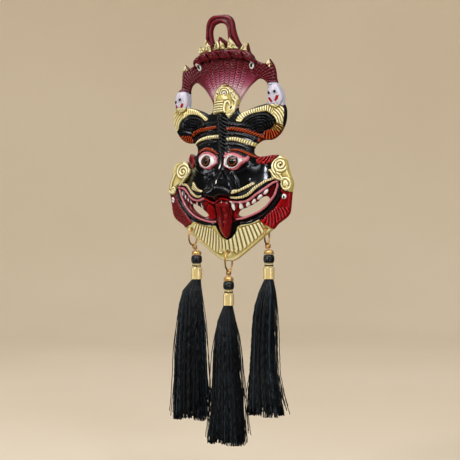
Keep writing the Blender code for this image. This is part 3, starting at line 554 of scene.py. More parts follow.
# %% [markdown]
# The crown carries leaf spikes in gold above the hood's rolled rim, and the hanger loop behind them is two
# nested ropes. The hood itself is maroon lacquer. Swirls are cast on the rim, each a dome with a groove
# that winds into it, and short cuts part them.

# %% Hanger loop, crown and rim
HOOD_ZONE = [(-70, 12), (70, 12), (70, -62), (42, -62), (18, -70), (11, -84), (-11, -84), (-18, -70),
             (-42, -62), (-70, -62)]
area("maroon", HOOD_ZONE, smooth=False)
LOOP_INNER_ROPE = [(9.4, -21), (9.7, -12), (9.2, -5), (6.3, 0.6), (0, 2.6)]
LOOP_OUTER_ROPE = [(15.9, -20), (13.6, -10), (12.7, -2), (8.6, 4.6), (0, 6.2)]
for rope, half_width in ((LOOP_INNER_ROPE, 1.4), (LOOP_OUTER_ROPE, 1.7)):
    ribbon(None, rope + mirrored(rope)[-2::-1], [half_width], 1.3)
RIM_LINE = [(-30, -35.4), (-24, -31.4), (-13, -29.2), (0, -28.6), (13, -29.2), (24, -31.4), (30, -35.4)]
ribbon("maroon", RIM_LINE, [3.6, 4.4, 4.4, 3.6], 5.6)
RIM_SWIRLS = [(-26.5, -33.8), (-18.2, -32), (-8.8, -31), (4.2, -30.8), (16.8, -31.8), (27, -34.2)]
for x, z in RIM_SWIRLS:
    dot(None, x, z, 4.4, 3.7, 3.2)
    ribbon(None, spiral(x, z, 0.9, 3.3, 1.2, 200), [0.85], -1.6)
for (x, z), (next_x, _) in zip(RIM_SWIRLS, RIM_SWIRLS[1:]):
    middle = (x + next_x) / 2
    ribbon(None, [(middle - 1.4, z + 3), (middle, z + 0.6), (middle - 0.6, z - 2.6)], [0.6, 1.3, 1.3], -1.8)
LEAF_SPIKES = [
    [(-24.6, -17.8), (-26.8, -28.4), (-23, -27), (-18.6, -25.6), (-19.4, -21.6), (-21.6, -21)],
    [(-18.2, -25.4), (-17.6, -18.6), (-15.4, -13.6), (-13.4, -17.6), (-10.2, -21), (-9.6, -26.6),
     (-13.4, -26)],
    [(-8.2, -25), (-6, -19.6), (-2.4, -16), (-0.9, -18.6), (0.3, -21.6), (0.2, -25.6), (-3.6, -25.2)],
    [(1.3, -17.4), (3.6, -19.4), (5.2, -25.4), (1.9, -25.8), (1, -22)],
    [(5.6, -25.4), (7.2, -19.6), (10.6, -14.4), (13.8, -18.4), (17.2, -25.4), (10.4, -25.2)],
    [(17.6, -26), (20.4, -21.8), (24.6, -19.4), (24.9, -28.4), (20.6, -26.6)],
]
for leaf in LEAF_SPIKES:
    area("gold", leaf, 1.3, 1.3, smooth=False)
for side_tip in ([(-44.4, -35.6), (-47.4, -41.2), (-41.2, -41.3)],
                 [(40.6, -38.8), (44.5, -35.5), (45.4, -39.6), (44.8, -43.4), (42.3, -40.4)]):
    area("gold", side_tip, 0.7, 1.4, smooth=False)
LEAF_CURLS = [(-15.2, -18.6, 1.6), (-12.4, -23, 1.8), (-23.2, -23.4, 1.6), (9.4, -20.2, 1.9),
              (13, -23, 1.7), (21.6, -24.2, 1.6), (-4.2, -21.8, 2.0), (3, -22.4, 1.2)]
for x, z, size in LEAF_CURLS:
    ribbon(None, spiral(x, z, 0.4, size, 1.1, 60), [0.55], -1.2)
print("layers", len(LAYERS))

# %% [markdown]
# The arms beside the hood are scaled like necks: rings run across them, and finer ridges run along them
# to cut the rings into scales. They end in white serpent heads with black eyes and red mouths. Each head
# is an outline filled with a dome, which gives it a round cheek.

# %% Serpents
ARM_SPINE = [(19, -38), (27, -38.8), (34, -41), (40.5, -46), (44.8, -53), (46.6, -61)]
ARM_AREA = [(30, -34), (36, -39), (42, -38), (48, -42), (50, -52), (51, -60), (41.4, -62), (40, -56),
            (35, -53), (29, -54), (26, -49), (27, -42)]
for around, spine in ((ARM_AREA, ARM_SPINE), (mirrored(ARM_AREA), mirrored(ARM_SPINE))):
    ribs(around, spine, 2.6, 1.1, slant=0.25)
    ribs(around, spine, 3.2, 0.6, across=False)
HOOD_EYES = [(-26.9, -39.4, 14), (27.9, -40.9, -14)]
for x, z, turned in HOOD_EYES:
    dot("white", x, z, 2.4, 3.3, 1.4, turned)
    dot("black", x, z, 1.1, 2.0, 0.2, turned)
LEFT_HEAD = [(-51.3, -61.4), (-54.6, -63.5), (-57.6, -69.9), (-58, -77.8), (-54.4, -81.4), (-51.2, -83.4),
             (-48.1, -82.4), (-44.3, -79.3), (-39.4, -76), (-40.6, -70), (-41, -64.6), (-43, -61.8),
             (-47, -61.2)]
RIGHT_HEAD = [(49.6, -57.2), (54.4, -61.6), (56.6, -66), (58.4, -76.8), (56.3, -79.7), (52, -80.8),
              (48.9, -81.4), (44.3, -79.6), (40.6, -76.4), (40.8, -69), (41.2, -61.4), (43.4, -57.6)]
HEAD_FEATURES = {
    -1: ([(-48.4, -69.1), (-53.6, -71.2)], [[(-45.8, -72.7), (-47.2, -75.6), (-48.5, -78.4)],
                                            [(-53.4, -74.2), (-52.9, -76.4), (-51.7, -78.6)]]),
    1: ([(45, -67.6), (50.8, -66.6)], [[(44.7, -71.9), (46.2, -74.4), (48.1, -76.5)],
                                       [(53.1, -70.2), (52.3, -73), (50.7, -75.6)]]),
}
for flip, outline in ((-1, LEFT_HEAD), (1, RIGHT_HEAD)):
    area("lilac white", outline, 1.2, 2.2)
    dot(None, flip * 49.3, -69.6, 7.6, 11.6, 5.3)
    eyes, mouth = HEAD_FEATURES[flip]
    for x, z in eyes:
        dot(None, x, z, 2.0, 2.3, 0.7)
        dot("black", x, z, 1.35, 1.7, 0.15, flip * 20)
    for stroke in mouth:
        ribbon("red", stroke, [1.1, 1.3, 0.8], 0.25)
print("layers", len(LAYERS))

# %% [markdown]
# The gold boss below the hood is a small mask of its own, carved with arcs round a white eye, level slabs
# on one side, upright loops on the other and small curls between. Worn paint shows brown at its top.

# %% Boss
BOSS = [(0.7, -57), (4.2, -58.6), (7.8, -61.4), (11.4, -65.4), (14, -69.4), (14.1, -73.4), (12.4, -79.5),
        (11.6, -83.5), (9.4, -87.4), (6.9, -89.9), (4.3, -86.9), (1.3, -85), (-3.7, -84.9), (-10.9, -85.8),
        (-11.5, -80), (-11.4, -73.5), (-12.2, -69), (-9, -64.2), (-5.3, -59.8)]
BOSS_EYE = (1.6, -66.1)
area("gold", BOSS, 2.6, 2.0)
BOSS_ARCS = (3.6, 5.8)
BOSS_SLABS = 5
SLAB_PITCH = 2.35
BOSS_CURLS = [(-7.2, -68.4, 1.9), (-6, -63.6, 1.6), (10.2, -68.2, 2.0), (8.2, -64.4, 1.5), (-8.6, -72, 1.4)]
for radius in BOSS_ARCS:
    turns = [math.radians(a) for a in range(-10, 191, 20)]
    arc = [(BOSS_EYE[0] + radius * math.cos(t), BOSS_EYE[1] + radius * math.sin(t)) for t in turns]
    ribbon(None, arc, [0.5, 0.8, 0.5], 0.9)
for row in range(BOSS_SLABS):
    z = -74.2 - SLAB_PITCH * row
    ribbon(None, [(-9.8, z), (-4, z + 0.3), (0.6, z + 0.1)], [0.8, 0.9, 0.7], 1.0)
ribbon(None, [(3.2, -84.6), (2.4, -79), (3.6, -74.6), (6.4, -74.2), (7.2, -77)], [0.8, 1.0, 0.8], 1.1)
ribbon(None, [(10.6, -84.6), (12, -79), (12, -74), (9.4, -71.2)], [1.0, 1.2, 0.8], 1.2)
ribbon(None, [(5, -86.8), (7.8, -87.2), (9.6, -84.4)], [0.7, 0.9, 0.7], 0.8)
# The sunken pit is painted near black, as painted shade in its hollow.
dot("pit shade", 8.2, -79.8, 1.0, 1.7, -1.6, -15)
dot(None, BOSS_EYE[0] + 1.4, -71, 2.4, 1.8, 0.9)
dot("brown gold", 2.6, -59.2, 2.6, 1.2, 0.4, -8)
for x, z, size in BOSS_CURLS:
    ribbon(None, spiral(x, z, 0.5, size, 1.2, 20 * x), [0.55], 0.9)
dot("white", *BOSS_EYE, 1.9, 1.9, 0.9)
dot("black", BOSS_EYE[0] + 0.5, BOSS_EYE[1] - 0.1, 0.85, 0.85, 0.1)
print("layers", len(LAYERS))

# %% [markdown]
# The brow spreads into two shell-like lobes in black. Notched ridges fill each, one inside the next: every
# ridge is the lobe's inner edge moved further in, cut off where it leaves the lobe. A ribbed gold band
# borders each lobe, and each ends in an orange curl.

# %% Brow lobes
LEFT_BAND = [(-17.1, -89.5), (-22.6, -85.6), (-29.3, -81.2), (-36.2, -78.4), (-42, -77.3), (-50, -77),
             (-61, -79), (-62, -98.5), (-54.5, -98.1), (-52.6, -93.4), (-50.4, -89.8), (-46.4, -86.7),
             (-41.2, -84.2), (-36.1, -83.9), (-30, -85), (-25.1, -87.7), (-20.1, -91.4)]
RIGHT_BAND = [(13.3, -92), (16.4, -86.5), (19.8, -84.1), (25.4, -82.3), (35.3, -80), (40.7, -78.6),
              (48, -78.3), (54, -79.4), (57.2, -82.5), (57.6, -88.8), (56.4, -94.5), (55.7, -98.1),
              (50.5, -96.1), (49.5, -92.3), (46.4, -88.1), (43.9, -86.2), (40.9, -84.5), (36.1, -84.8),
              (30.4, -85.6), (24.6, -87.3), (20.9, -89.7), (17.7, -94)]
LOBE_SPINE = [(15.4, -91.6), (20, -87.2), (27, -83.6), (36, -81.8), (43, -81.6), (49, -83.6), (53.4, -89),
              (54, -97), (51, -103.4), (45, -107.6), (38, -108.8)]
LOBE_HEART = [(13, -96), (20, -90), (27, -86.6), (36, -85), (43, -86), (48.6, -91), (50.4, -97), (48, -101),
              (42, -101.8), (36, -104.6), (29, -103), (21, -99)]
LOBE_BAND = [(13, -92), (18, -84), (30, -80), (41, -77), (47, -77), (47, -89), (41, -84.5), (30, -85.6),
             (20, -91)]
LOBE_CORNER = [(48, -77), (60, -80), (61, -97), (51, -96), (48, -90)]
LOBE_CURL = [(57, -107), (46, -113), (34, -112), (36, -104), (44, -101), (50, -98), (59, -98)]
LOBE_INNER_EDGE = [(18, -95.4), (21, -91), (27, -87.2), (36, -85.2), (43, -86.4), (48.4, -91), (50.4, -97)]
LOBE_RIDGES = 7
LOBE_RIDGE_PITCH = 2.5
ORANGE_CURLS = {-1: [(-57, -103.8), (-46, -103.9), (-40.2, -104.1), (-37.5, -105.7), (-36.6, -109.1),
                     (-38.2, -113.5), (-50, -113), (-57, -107)],
                1: [(42.5, -101.6), (36.6, -104.2), (33.8, -107), (33, -114), (44, -114), (53, -109),
                    (57, -103.4), (50, -102.8), (44.5, -101.5)]}
for flip, band in ((-1, LEFT_BAND), (1, RIGHT_BAND)):
    area("gold", band, 0.5, 1.4)
    area("orange", ORANGE_CURLS[flip], 0.5, 1.4)
    lines = (LOBE_BAND, LOBE_CORNER, LOBE_CURL, LOBE_SPINE, LOBE_HEART, LOBE_INNER_EDGE)
    around, corner, curl, spine, heart, inner_edge = (mirrored(p) if flip < 0 else p for p in lines)
    ribs(around, spine, 2.2, 1.1 if flip > 0 else 0.5)
    ribs(corner, inner_edge, 2.5, 0.9 if flip > 0 else 0.5, across=False)
    ribs(curl, spine, 2.6, 1.7, slant=0.3)
    for step in range(1, LOBE_RIDGES + 1):
        ridge = beside(curve(inner_edge, 2.0), [-flip * LOBE_RIDGE_PITCH * step])
        ridge = [tuple(p) for p in ridge if inside(np.array(heart), p[None])[0]]
        if len(ridge) > 3:
            ribbon(None, ridge, [0.8, 1.1, 0.8], 2.0, 2.8, 0.9, 0.55)
area("brown gold", [(50.4, -96), (55.9, -98.1), (55.4, -103.4), (50, -102.9), (44.4, -101.5)], 0.0)
print("layers", len(LAYERS))

# %% [markdown]
# Twisted cords cross the forehead on each side of a braid. The braid is two ribbons on one line, notched
# in opposite slants. Two pairs of cords are painted, orange above and gold below, and the wrinkles between
# them stay black.

# %% Forehead
BRAID = [(0.8, -87), (1.4, -100), (2.6, -112), (4, -127)]
ribbon(None, BRAID, [6.4, 5.6, 4.8, 4], 2.4, 3.6, 0.75, 0.7)
ribbon(None, BRAID, [1.3, 1.3, 1.2, 1], 1.0, 3.6, -0.9, 0.9)
ORANGE_CORDS = [[(-5.2, -98.1), (-12.5, -98.9), (-24.3, -99.9), (-30.6, -101.4), (-36.5, -104.6)],
                [(6, -100.8), (11, -100.3), (22, -102.5), (30, -105.4), (37.2, -108.4)]]
for cord in ORANGE_CORDS:
    ribbon("orange", cord, [1.5, 1.9, 1.9, 1.6], 1.9, 2.4, 0.7, 0.7)
GOLD_CORDS = [([(-1.8, -107.6), (-7.5, -107.4), (-17.2, -108), (-27.5, -109.7), (-33.4, -113.2)],
               [1.8, 1.8, 1.8, 1.5, 0.7]),
              ([(6.4, -110.8), (9.4, -110.1), (15.4, -110.7), (25.5, -114), (32.4, -116.8)],
               [1.4, 1.9, 2.1, 2.1, 1.7])]
for cord, widths in GOLD_CORDS:
    ribbon("gold", cord, widths, 2.1, 2.2, 0.0, 0.75)
WRINKLES = [[(-6, -94.2), (-13, -94.4), (-22, -95.2), (-29, -97)],
            [(-7, -103.2), (-16, -103.6), (-25, -104.8), (-32, -107.4)],
            [(-5, -112.6), (-13, -112.4), (-22, -113.6), (-28, -116.2)],
            [(6.4, -95.6), (13, -96.6), (22, -98.2), (29, -101)],
            [(7.6, -105.2), (14, -105.6), (23, -107.8), (31, -111.4)],
            [(6, -115), (13, -114.9), (21, -117), (27.6, -120.4)]]
for wrinkle in WRINKLES:
    ribbon(None, wrinkle, [1.3, 1.6, 1.2], 1.1, 3.1, 0.7, 0.3)
print("layers", len(LAYERS))

# %% [markdown]
# The eyes are the point of such a mask: wide open, to stare down the evil eye. Each is a raised almond with
# a pink rim, a white ball, and an iris in black and brown under an orange brow.

# %% Brows and eyes
BROWS = [([(-26.4, -122.6), (-22.8, -120.3), (-17, -118.6), (-10.2, -119.5), (-4.5, -122.3), (-1, -124.6)],
          [0.6, 1.3, 1.6, 1.6, 1.2, 0.5]),
         ([(9.2, -121), (14, -120.5), (19.5, -121.4), (26.8, -124.6), (33.6, -128.3)],
          [0.6, 1.1, 1.2, 1.3, 0.7])]
for brow, widths in BROWS:
    ribbon("orange", brow, widths, 1.9, 2.3, 0.7, 0.6)
LEFT_LID = [(-24.4, -126), (-22.1, -123.1), (-19, -121.5), (-14.4, -121), (-9.4, -121.9), (-4.9, -124.3),
            (-1.9, -127.3), (-1.1, -130.5), (-1.5, -133.3), (-5.1, -136.3), (-8.6, -138.8), (-11.1, -139),
            (-15.2, -138.3), (-19.4, -135.7), (-22.6, -130.6)]
LEFT_WHITE = [(-21.9, -127.9), (-20.1, -124.9), (-15, -123.9), (-8.9, -125.1), (-5, -127.5), (-2.3, -131),
              (-5.1, -133.6), (-9.6, -136.1), (-13.2, -136.6), (-17.2, -135), (-20.4, -131.6)]
RIGHT_LID = [(5.6, -124), (7.6, -122.9), (13.2, -122.8), (18, -124.2), (21.8, -126.3), (24.6, -127.6),
             (26.8, -126), (28.2, -128), (27.4, -131.2), (25.2, -132.8), (22, -135.8), (18.9, -138.8),
             (15, -140.4), (11.6, -139.6), (7.4, -137), (6, -131.6)]
RIGHT_WHITE = [(6.9, -129.2), (8.6, -126.4), (11.8, -125.3), (16.6, -126.7), (20.6, -128.6), (24.4, -130.2),
               (21.2, -132.7), (18, -136.2), (14, -138.1), (9.5, -137), (6.9, -133.6)]
EYES = [(LEFT_LID, LEFT_WHITE, (-13.1, -130.7)), (RIGHT_LID, RIGHT_WHITE, (14.4, -131.7))]
EYEBALL_X = 13.6
for lid, white, (x, z) in EYES:
    area("pink", lid, 1.8, 1.6)
    dot(None, math.copysign(EYEBALL_X, x), -130.6, 9.5, 7.6, 2.2)
    area("white", white, -0.7, 0.8)
    dot("black", x, z, 5.3, 5.3, 1.0)
    dot("brown", x, z, 4.0, 4.0, 0.25)
    dot("black", x, z, 2.9, 2.9, 0.1)
    dot(None, x, z, 2.0, 2.0, 0.3)
print("layers", len(LAYERS))

# %% [markdown]
# The cheeks and the broad nose are smooth black enamel, so low folds and creases are all that their gloss
# shows: beside the nose, under the eyes and on the cheeks. The left ear is a leaf in maroon, the right one
# a twisted strip in red.

# %% Nose, cheeks and ears
NOSE = [(5.4, -133), (1.6, -140), (-3.4, -147), (-9.6, -153.6), (-17.6, -160.6), (-16.6, -162.4),
        (-9.4, -166), (-2.9, -169.2), (-0.2, -167), (4.4, -165.2), (10, -166.2), (15.4, -167.6),
        (17.6, -162), (17.4, -157), (15.4, -149.6), (11.6, -142), (8.4, -135)]
area(None, NOSE, 4.2, 4.5)
ribbon(None, [(-13, -161.6), (-6, -161), (0, -159.6), (6, -159.8), (12.5, -161.8)],
       [2.4, 4.4, 4.8, 4.0, 2.4], 2.6)
ribbon(None, [(4.6, -128), (5.4, -134), (4.6, -141), (3.6, -148)], [1.6, 2.4, 3.0, 2.2], 0.8)
NOSE_FOLDS = [[(3.4, -138), (-1.6, -145), (-7.6, -151), (-15, -157)],
              [(9.6, -136), (13.2, -142.6), (17.2, -149.6), (19.2, -156)],
              [(7.4, -139), (9.4, -144), (12.6, -148.4)]]
for fold in NOSE_FOLDS:
    ribbon(None, fold, [0.7, 1.3, 1.0], 0.8)
UNDER_EYE_FOLD = [(4.5, -138.5), (9.5, -141.9), (16, -142.9), (24, -139.4), (31, -134)]
for fold in (UNDER_EYE_FOLD, mirrored(UNDER_EYE_FOLD)):
    ribbon(None, fold, [0.7, 1.1, 1.0, 0.7], 0.5)
ribbon(None, spiral(-11.6, -144.6, 0.6, 2.0, 1.4, 30), [0.75], 1.5)
ribbon(None, [(-13, -146.4), (-13.6, -150), (-14.2, -152.4)], [0.6, 0.5], 0.8)
CHEEK_CREASES = [[(36, -131), (30.5, -136)], [(44.6, -133), (40.6, -136.4)], [(29, -149), (26.6, -151)]]
for crease in CHEEK_CREASES:
    ribbon(None, crease, [0.5, 0.8, 0.5], 0.5)
LEFT_LEAF = [(-40.6, -121), (-36.4, -122.4), (-32.2, -127.4), (-31.2, -131.8), (-32.8, -135.1),
             (-36.1, -136.2), (-39.8, -133.4), (-43, -129.5), (-43, -125.6)]
RIGHT_EAR = [(32.6, -126), (39, -125.4), (45, -124.8), (51, -124.6), (47, -130.6), (44.7, -132.8),
             (41, -134.5), (34.1, -133.9), (32.4, -130)]
area("maroon red", LEFT_LEAF, 2.5, 2.2)
ribs(LEFT_LEAF, [(-41, -123), (-36, -129), (-34.6, -135)], 2.2, 0.5, across=False)
area("red", RIGHT_EAR, 2.0, 2.0)
ribs(RIGHT_EAR, [(32, -131), (40, -130), (50, -126)], 3.4, 1.4, slant=1.0)
print("layers", len(LAYERS))

# %% [markdown]
# Birds rest beside the jaw: maroon with crossed fine ribs on one side, red with bold ribs on the other,
# each with a white eye. Above them sit gold spiral roundels, where the moustache begins.

# %% Birds and roundels
LEFT_BIRD = [(-56.4, -157), (-54.9, -161), (-52.8, -166.9), (-49.6, -172.8), (-44.9, -178.7), (-40, -184.5),
             (-38.2, -187.9), (-40.8, -189.7), (-44.5, -191.9), (-48, -198), (-72, -190), (-72, -158)]
RIGHT_BIRD = [(56.4, -157), (54.8, -163), (53.1, -167.6), (49.3, -173.2), (45, -177.8), (40.1, -182.4),
              (35.3, -186.4), (33.5, -186.6), (34.7, -189), (36.9, -191.4), (39.7, -192.2), (44.5, -195.4),
              (52, -200), (72, -190), (72, -158)]
area("maroon red", LEFT_BIRD, 1.8, 2.2)
area("red", RIGHT_BIRD, 1.8, 2.2)
BIRD_SPINE = [(58.4, -160), (58, -170), (55, -179), (49, -186.6), (42, -192)]
ribs([(55, -175), (63, -176), (61, -183), (54, -189), (45, -196), (35, -188), (42, -181), (50, -175)],
     BIRD_SPINE, 3.8, 1.3, slant=0.9)
LEFT_BIRD_BODY = [(-56, -160), (-63, -160), (-62, -181), (-54, -187), (-45, -195), (-40, -189), (-44, -181),
                  (-52, -170)]
for pitch, slant in ((2.4, 0.6), (2.6, -0.9)):
    ribs(LEFT_BIRD_BODY, mirrored(BIRD_SPINE), pitch, 0.5, slant=slant)
dot("white", -59.9, -165.6, 1.7, 2.9, 0.9)
dot("black", -59.7, -165.8, 0.7, 1.1, 0.1)
dot("white", 57.4, -165.2, 2.3, 2.4, 0.9)
dot("black", 57.4, -165.9, 0.9, 1.5, 0.1)
LEFT_ROUNDEL = [(-46.2, -129.1), (-44.1, -130.1), (-41.6, -134.1), (-38.9, -136.6), (-38.2, -139.4),
                (-39.5, -142.1), (-42.7, -145.3), (-46.5, -148.9), (-50.5, -150.8), (-54.6, -152.3),
                (-55.7, -155), (-56.8, -159.6), (-59.2, -160.9), (-61.8, -160.4), (-66, -161), (-72, -150),
                (-66, -133), (-58, -124), (-50, -125)]
RIGHT_ROUNDEL = [(44.2, -143.2), (41.9, -139.7), (44.5, -138.7), (44.1, -136), (44.9, -133.2), (47, -130.3),
                 (50.7, -127.5), (53, -122), (64, -125), (72, -150), (68, -161.4), (61.4, -160.6),
                 (58.9, -160), (56.2, -158.4), (54.8, -154.5), (53.8, -151.1), (50.7, -150.1), (46, -148.5)]
for flip, roundel in ((-1, LEFT_ROUNDEL), (1, RIGHT_ROUNDEL)):
    area("gold", roundel, 2.2, 2.0)
ribbon(None, spiral(-47.8, -138.6, 1.0, 8.2, 2.3, 100, -1), [0.9, 1.2, 1.2, 1.0], 1.3)
ROUNDEL_BARS = [((-40.5, -141), (-53, -153.6)), ((-44.4, -144.6), (-56, -156.4)), ((-57, -140), (-62, -155))]
for start, end in ROUNDEL_BARS:
    bend = ((start[0] + end[0]) / 2 - 1.4, (start[1] + end[1]) / 2 - 1.2)
    ribbon(None, [start, bend, end], [0.9, 1.2, 0.9], 1.2)
ribbon(None, spiral(-59, -155.6, 0.6, 3.6, 1.3, 200, -0.8), [0.8, 1.0], 1.2)
ribbon(None, spiral(54, -135.4, 1.4, 8.6, 2.5, 90), [0.9, 1.2, 1.2, 1.0], 1.3)
# The spiral's sunken middle is painted near black, as painted shade.
dot("pit shade", 54, -135.4, 1.0, 1.1, -0.8)
for reach in (0, 2.8, 5.6):
    sweep = [(45.4 + reach, -141.6), (49 + reach, -146.4), (53.4 + 0.7 * reach, -149.8)]
    ribbon(None, sweep, [0.8, 1.1, 0.8], 1.2)
ribbon(None, ellipse(59.4, -153.4, 4.4, 5.6, 20, 0.3), [1.0], 1.1)
dot(None, 59.4, -153.4, 2.6, 3.8, 1.3, 17)
print("layers", len(LAYERS))

# %% [markdown]
# The mouth grins from ear to ear under a roped moustache. Inside the pink lips lie dark red gums with white
# teeth, and the tongue hangs out over the chin. Two openings in the gums go right through the metal.

# %% Mouth and moustache
UPPER_LIP_LEFT = [(-52, -152.8), (-47.7, -153.5), (-44, -155.6), (-39.8, -159.6), (-35.6, -163.1),
                  (-31.5, -165.4), (-27.3, -166.1), (-23.1, -165.8), (-18.9, -164.8), (-14.8, -165.1)]
UPPER_LIP_MIDDLE = [(-14.8, -165.1), (-10.6, -167.6), (-6.9, -169.3), (-3.3, -168), (-0.1, -166),
                    (4.1, -165.3), (8.4, -166.5), (11.3, -168.3)]
UPPER_LIP_RIGHT = [(11.3, -168.3), (16, -168.9), (20.4, -168.8), (24.9, -167.4), (28.4, -165.3),
                   (31.8, -162.6), (35.3, -160.1), (38.7, -157.1), (42.2, -154.3), (45.6, -151.6),
                   (49.1, -150.2), (52, -150.1)]
LOWER_LIP_RIGHT = [(52, -150.1), (52.5, -154.4), (51.1, -159.1), (49.4, -163.8), (46.7, -168),
                   (44, -171.5), (40.3, -175.4), (35.6, -179), (29.8, -182), (24, -184.3), (18.3, -186.2),
                   (12.5, -187.1)]
LOWER_LIP_LEFT = [(-8.5, -188.9), (-14.9, -188.9), (-21.7, -187.7), (-28.6, -185.6), (-34.5, -182.8),
                  (-39.8, -178.8), (-44.1, -174.4), (-47.8, -169), (-50.5, -164), (-52.3, -159.1),
                  (-53.1, -155), (-52, -152.8)]
area("dark red", UPPER_LIP_LEFT[:-1] + UPPER_LIP_MIDDLE[:-1] + UPPER_LIP_RIGHT[:-1] + LOWER_LIP_RIGHT
     + LOWER_LIP_LEFT[:-1])
area("red", [(-21, -171), (-14, -169), (-5, -171), (-5, -187), (-15, -187.6), (-21, -184), (-17, -178)], 0.0)
area("red", [(8, -171), (14, -172), (20, -176.5), (15, -180), (18, -185), (8, -187)], 0.0)
for lip in (UPPER_LIP_LEFT, UPPER_LIP_RIGHT, LOWER_LIP_RIGHT, LOWER_LIP_LEFT):
    inner = beside(curve(lip, 2.5), [-1.15])
    ribbon("pink", [tuple(p) for p in inner], [1.15], 2.2)
ribbon("red", [tuple(p) for p in beside(curve(UPPER_LIP_MIDDLE, 2.5), [-1.1])], [1.1], 1.8)
RIGHT_TEETH = [(11.5, -173.4, 1.9, 4.3, 4), (18.5, -174, 1.6, 3.7, -6), (24.3, -172.8, 1.6, 3.5, -14),
               (30.1, -169.8, 1.6, 3.2, -28), (35.9, -165.6, 1.6, 3.0, -34), (40.9, -160.4, 1.4, 2.8, -30)]
GUM_FOLDS = [(15, -174, 0.9, 4), (21.5, -173.6, 0.9, 3.4), (27.3, -171.6, 0.9, 3.2), (33, -168, 0.9, 3),
             (38.6, -163.2, 0.9, 3), (-34, -170, 0.9, 3), (-39, -168, 0.9, 3), (-43, -165, 0.9, 3)]
for x, z, half_width, half_height in GUM_FOLDS:
    dot("dark red", x, z, half_width, half_height, 1.2, -x)
for x in (-13, 13.5):
    dot(None, x, -179, 5.6, 7.4, 1.6)
LEFT_TEETH = [(-48.8, -159.9, 0.8, 2.2, 10), (-44.8, -163.4, 0.7, 2.2, 6), (-40.9, -166.2, 0.8, 2.0, 14),
              (-36.8, -169, 0.8, 2.4, 24), (-29.8, -171, 0.8, 3.0, -12), (-23.6, -173.4, 0.9, 3.6, 10)]
for x, z, half_width, half_height, turned in RIGHT_TEETH + LEFT_TEETH:
    dot("white", x, z, half_width, half_height, 1.5, turned)
LONG_MOUSTACHE = [([(-51.5, -151.4), (-46.4, -151), (-42.2, -152.7), (-38.3, -156.4), (-33.6, -160),
                    (-29, -163), (-24.6, -163.8), (-20.4, -163)], [1.0, 1.4, 1.4, 1.6, 1.3, 0.9]),
                  ([(11.6, -165.8), (16.5, -165.9), (22, -165), (26.9, -162.4), (30.2, -159.5),
                    (33.3, -156.2), (36.9, -153.1), (41.2, -150.1), (47.5, -148)], [0.9, 1.2, 1.3, 1.3, 1.1])]
for line, widths in LONG_MOUSTACHE:
    ribbon("cream gold", line, widths, 1.7, 2.1, 0.6, 0.6)
SHORT_MOUSTACHE = [([(-33.4, -149.6), (-31, -149.7), (-27.6, -153.6), (-23.8, -156.4), (-18.6, -158),
                     (-19.8, -160), (-24.6, -159.3), (-30.2, -157.8), (-34.4, -155.7)],
                    [(-33, -152.6), (-28, -156), (-19, -159)]),
                   ([(14.1, -162.4), (15, -158.8), (19.6, -157.6), (24, -155), (30.4, -151.6), (32.4, -153),
                     (29, -155.6), (24.9, -157.8), (20.6, -160)],
                    [(14.6, -160.6), (22, -158), (31.6, -152.4)])]
for outline, spine in SHORT_MOUSTACHE:
    area("cream gold", outline, 1.4, 1.3)
    ribs(outline, spine, 2.1, 1.0, slant=0.4)
BEAD_ROWS = [[(-22, -161.4), (-27, -160.9), (-33, -157.6)],
             [(18.6, -163), (24, -161.2), (28.5, -158.4), (33, -154.4)]]
for beads in BEAD_ROWS:
    ribbon(None, beads, [0.9], 0.9, 1.9, 0.0, 0.8)
print("layers", len(LAYERS))

# %% [markdown]
# The collar is a gold plate below the chin, with a curl on each side of its middle hole. Its flutes are
# worked out in a later cell. The tongue lies over it, painted last, and low bumps break up its gloss.

# %% Collar and tongue
COLLAR = [(-50, -196), (-44.5, -191.7), (-40.8, -189.7), (-38.2, -187.9), (-35.4, -187.4), (-29.5, -189.1),
          (-23.7, -191), (-10.4, -191.7), (-8, -197), (-5, -202), (0.4, -205.4), (4, -204.4), (6.6, -202.6),
          (9.8, -198.8), (11.4, -195.5), (11.8, -193.5), (14.4, -191.6), (20.4, -190.7), (25.3, -190.1),
          (30.2, -188), (33.3, -186.4), (34.7, -189), (36.9, -191.4), (39.7, -192.2), (44.5, -195.4),
          (54, -200), (20, -238), (-20, -238), (-58, -200)]
area("gold", COLLAR, smooth=False)
COLLAR_CURLS = [(-7.2, -216), (8.4, -214.4)]
CURL = [(-1.8, 1.8), (-1.4, -0.8), (0, -1.8), (1.4, -0.8), (1.8, 1.8)]
for x, z in COLLAR_CURLS:
    ribbon(None, [(x + across, z + up) for across, up in CURL], [0.6], 0.8)
JAW_RIM = [(16, -191), (24.5, -189.2), (32, -186.3), (39.5, -181.4), (46, -175), (51, -167.5), (54, -160),
           (54.2, -153)]
for rim in (JAW_RIM, mirrored(JAW_RIM)):
    ribbon(None, rim, [1.8], 1.4)
TONGUE = [(-5.6, -168.6), (-7.3, -173.5), (-8, -179), (-7.9, -185), (-7.2, -191), (-5.6, -197.2),
          (-3, -201.6), (0.4, -203.8), (3.4, -202.2), (5.8, -198), (7.6, -192), (9, -187), (9.9, -181),
          (10.2, -175), (9, -169.4), (2, -167.2)]
area("tongue red", TONGUE, 6.0, 6.5)
ribbon(None, [(1, -174), (1.2, -184), (1, -193)], [1.0, 1.8, 0.8], -0.3)
ribbon(None, [(-3.6, -170), (-4.4, -176), (-4.2, -182)], [0.8, 1.2, 0.6], 0.7)
TONGUE_BUMPS = [(3.8, -177), (4.6, -183), (2.8, -189), (-1.6, -194)]
for x, z in TONGUE_BUMPS:
    dot(None, x, z, 1.5, 2.2, 0.5)
print("layers", len(LAYERS))

# %% [markdown]
# Three kinds of carving follow a rule and are worked out as functions over the plan: the blades of the
# five spikes, the ribs of the hood's fan with their columns of U-shaped scales, and the collar's flutes,
# which are closer and flatter on the left. The scales are coarser than the real ones, so that they show.

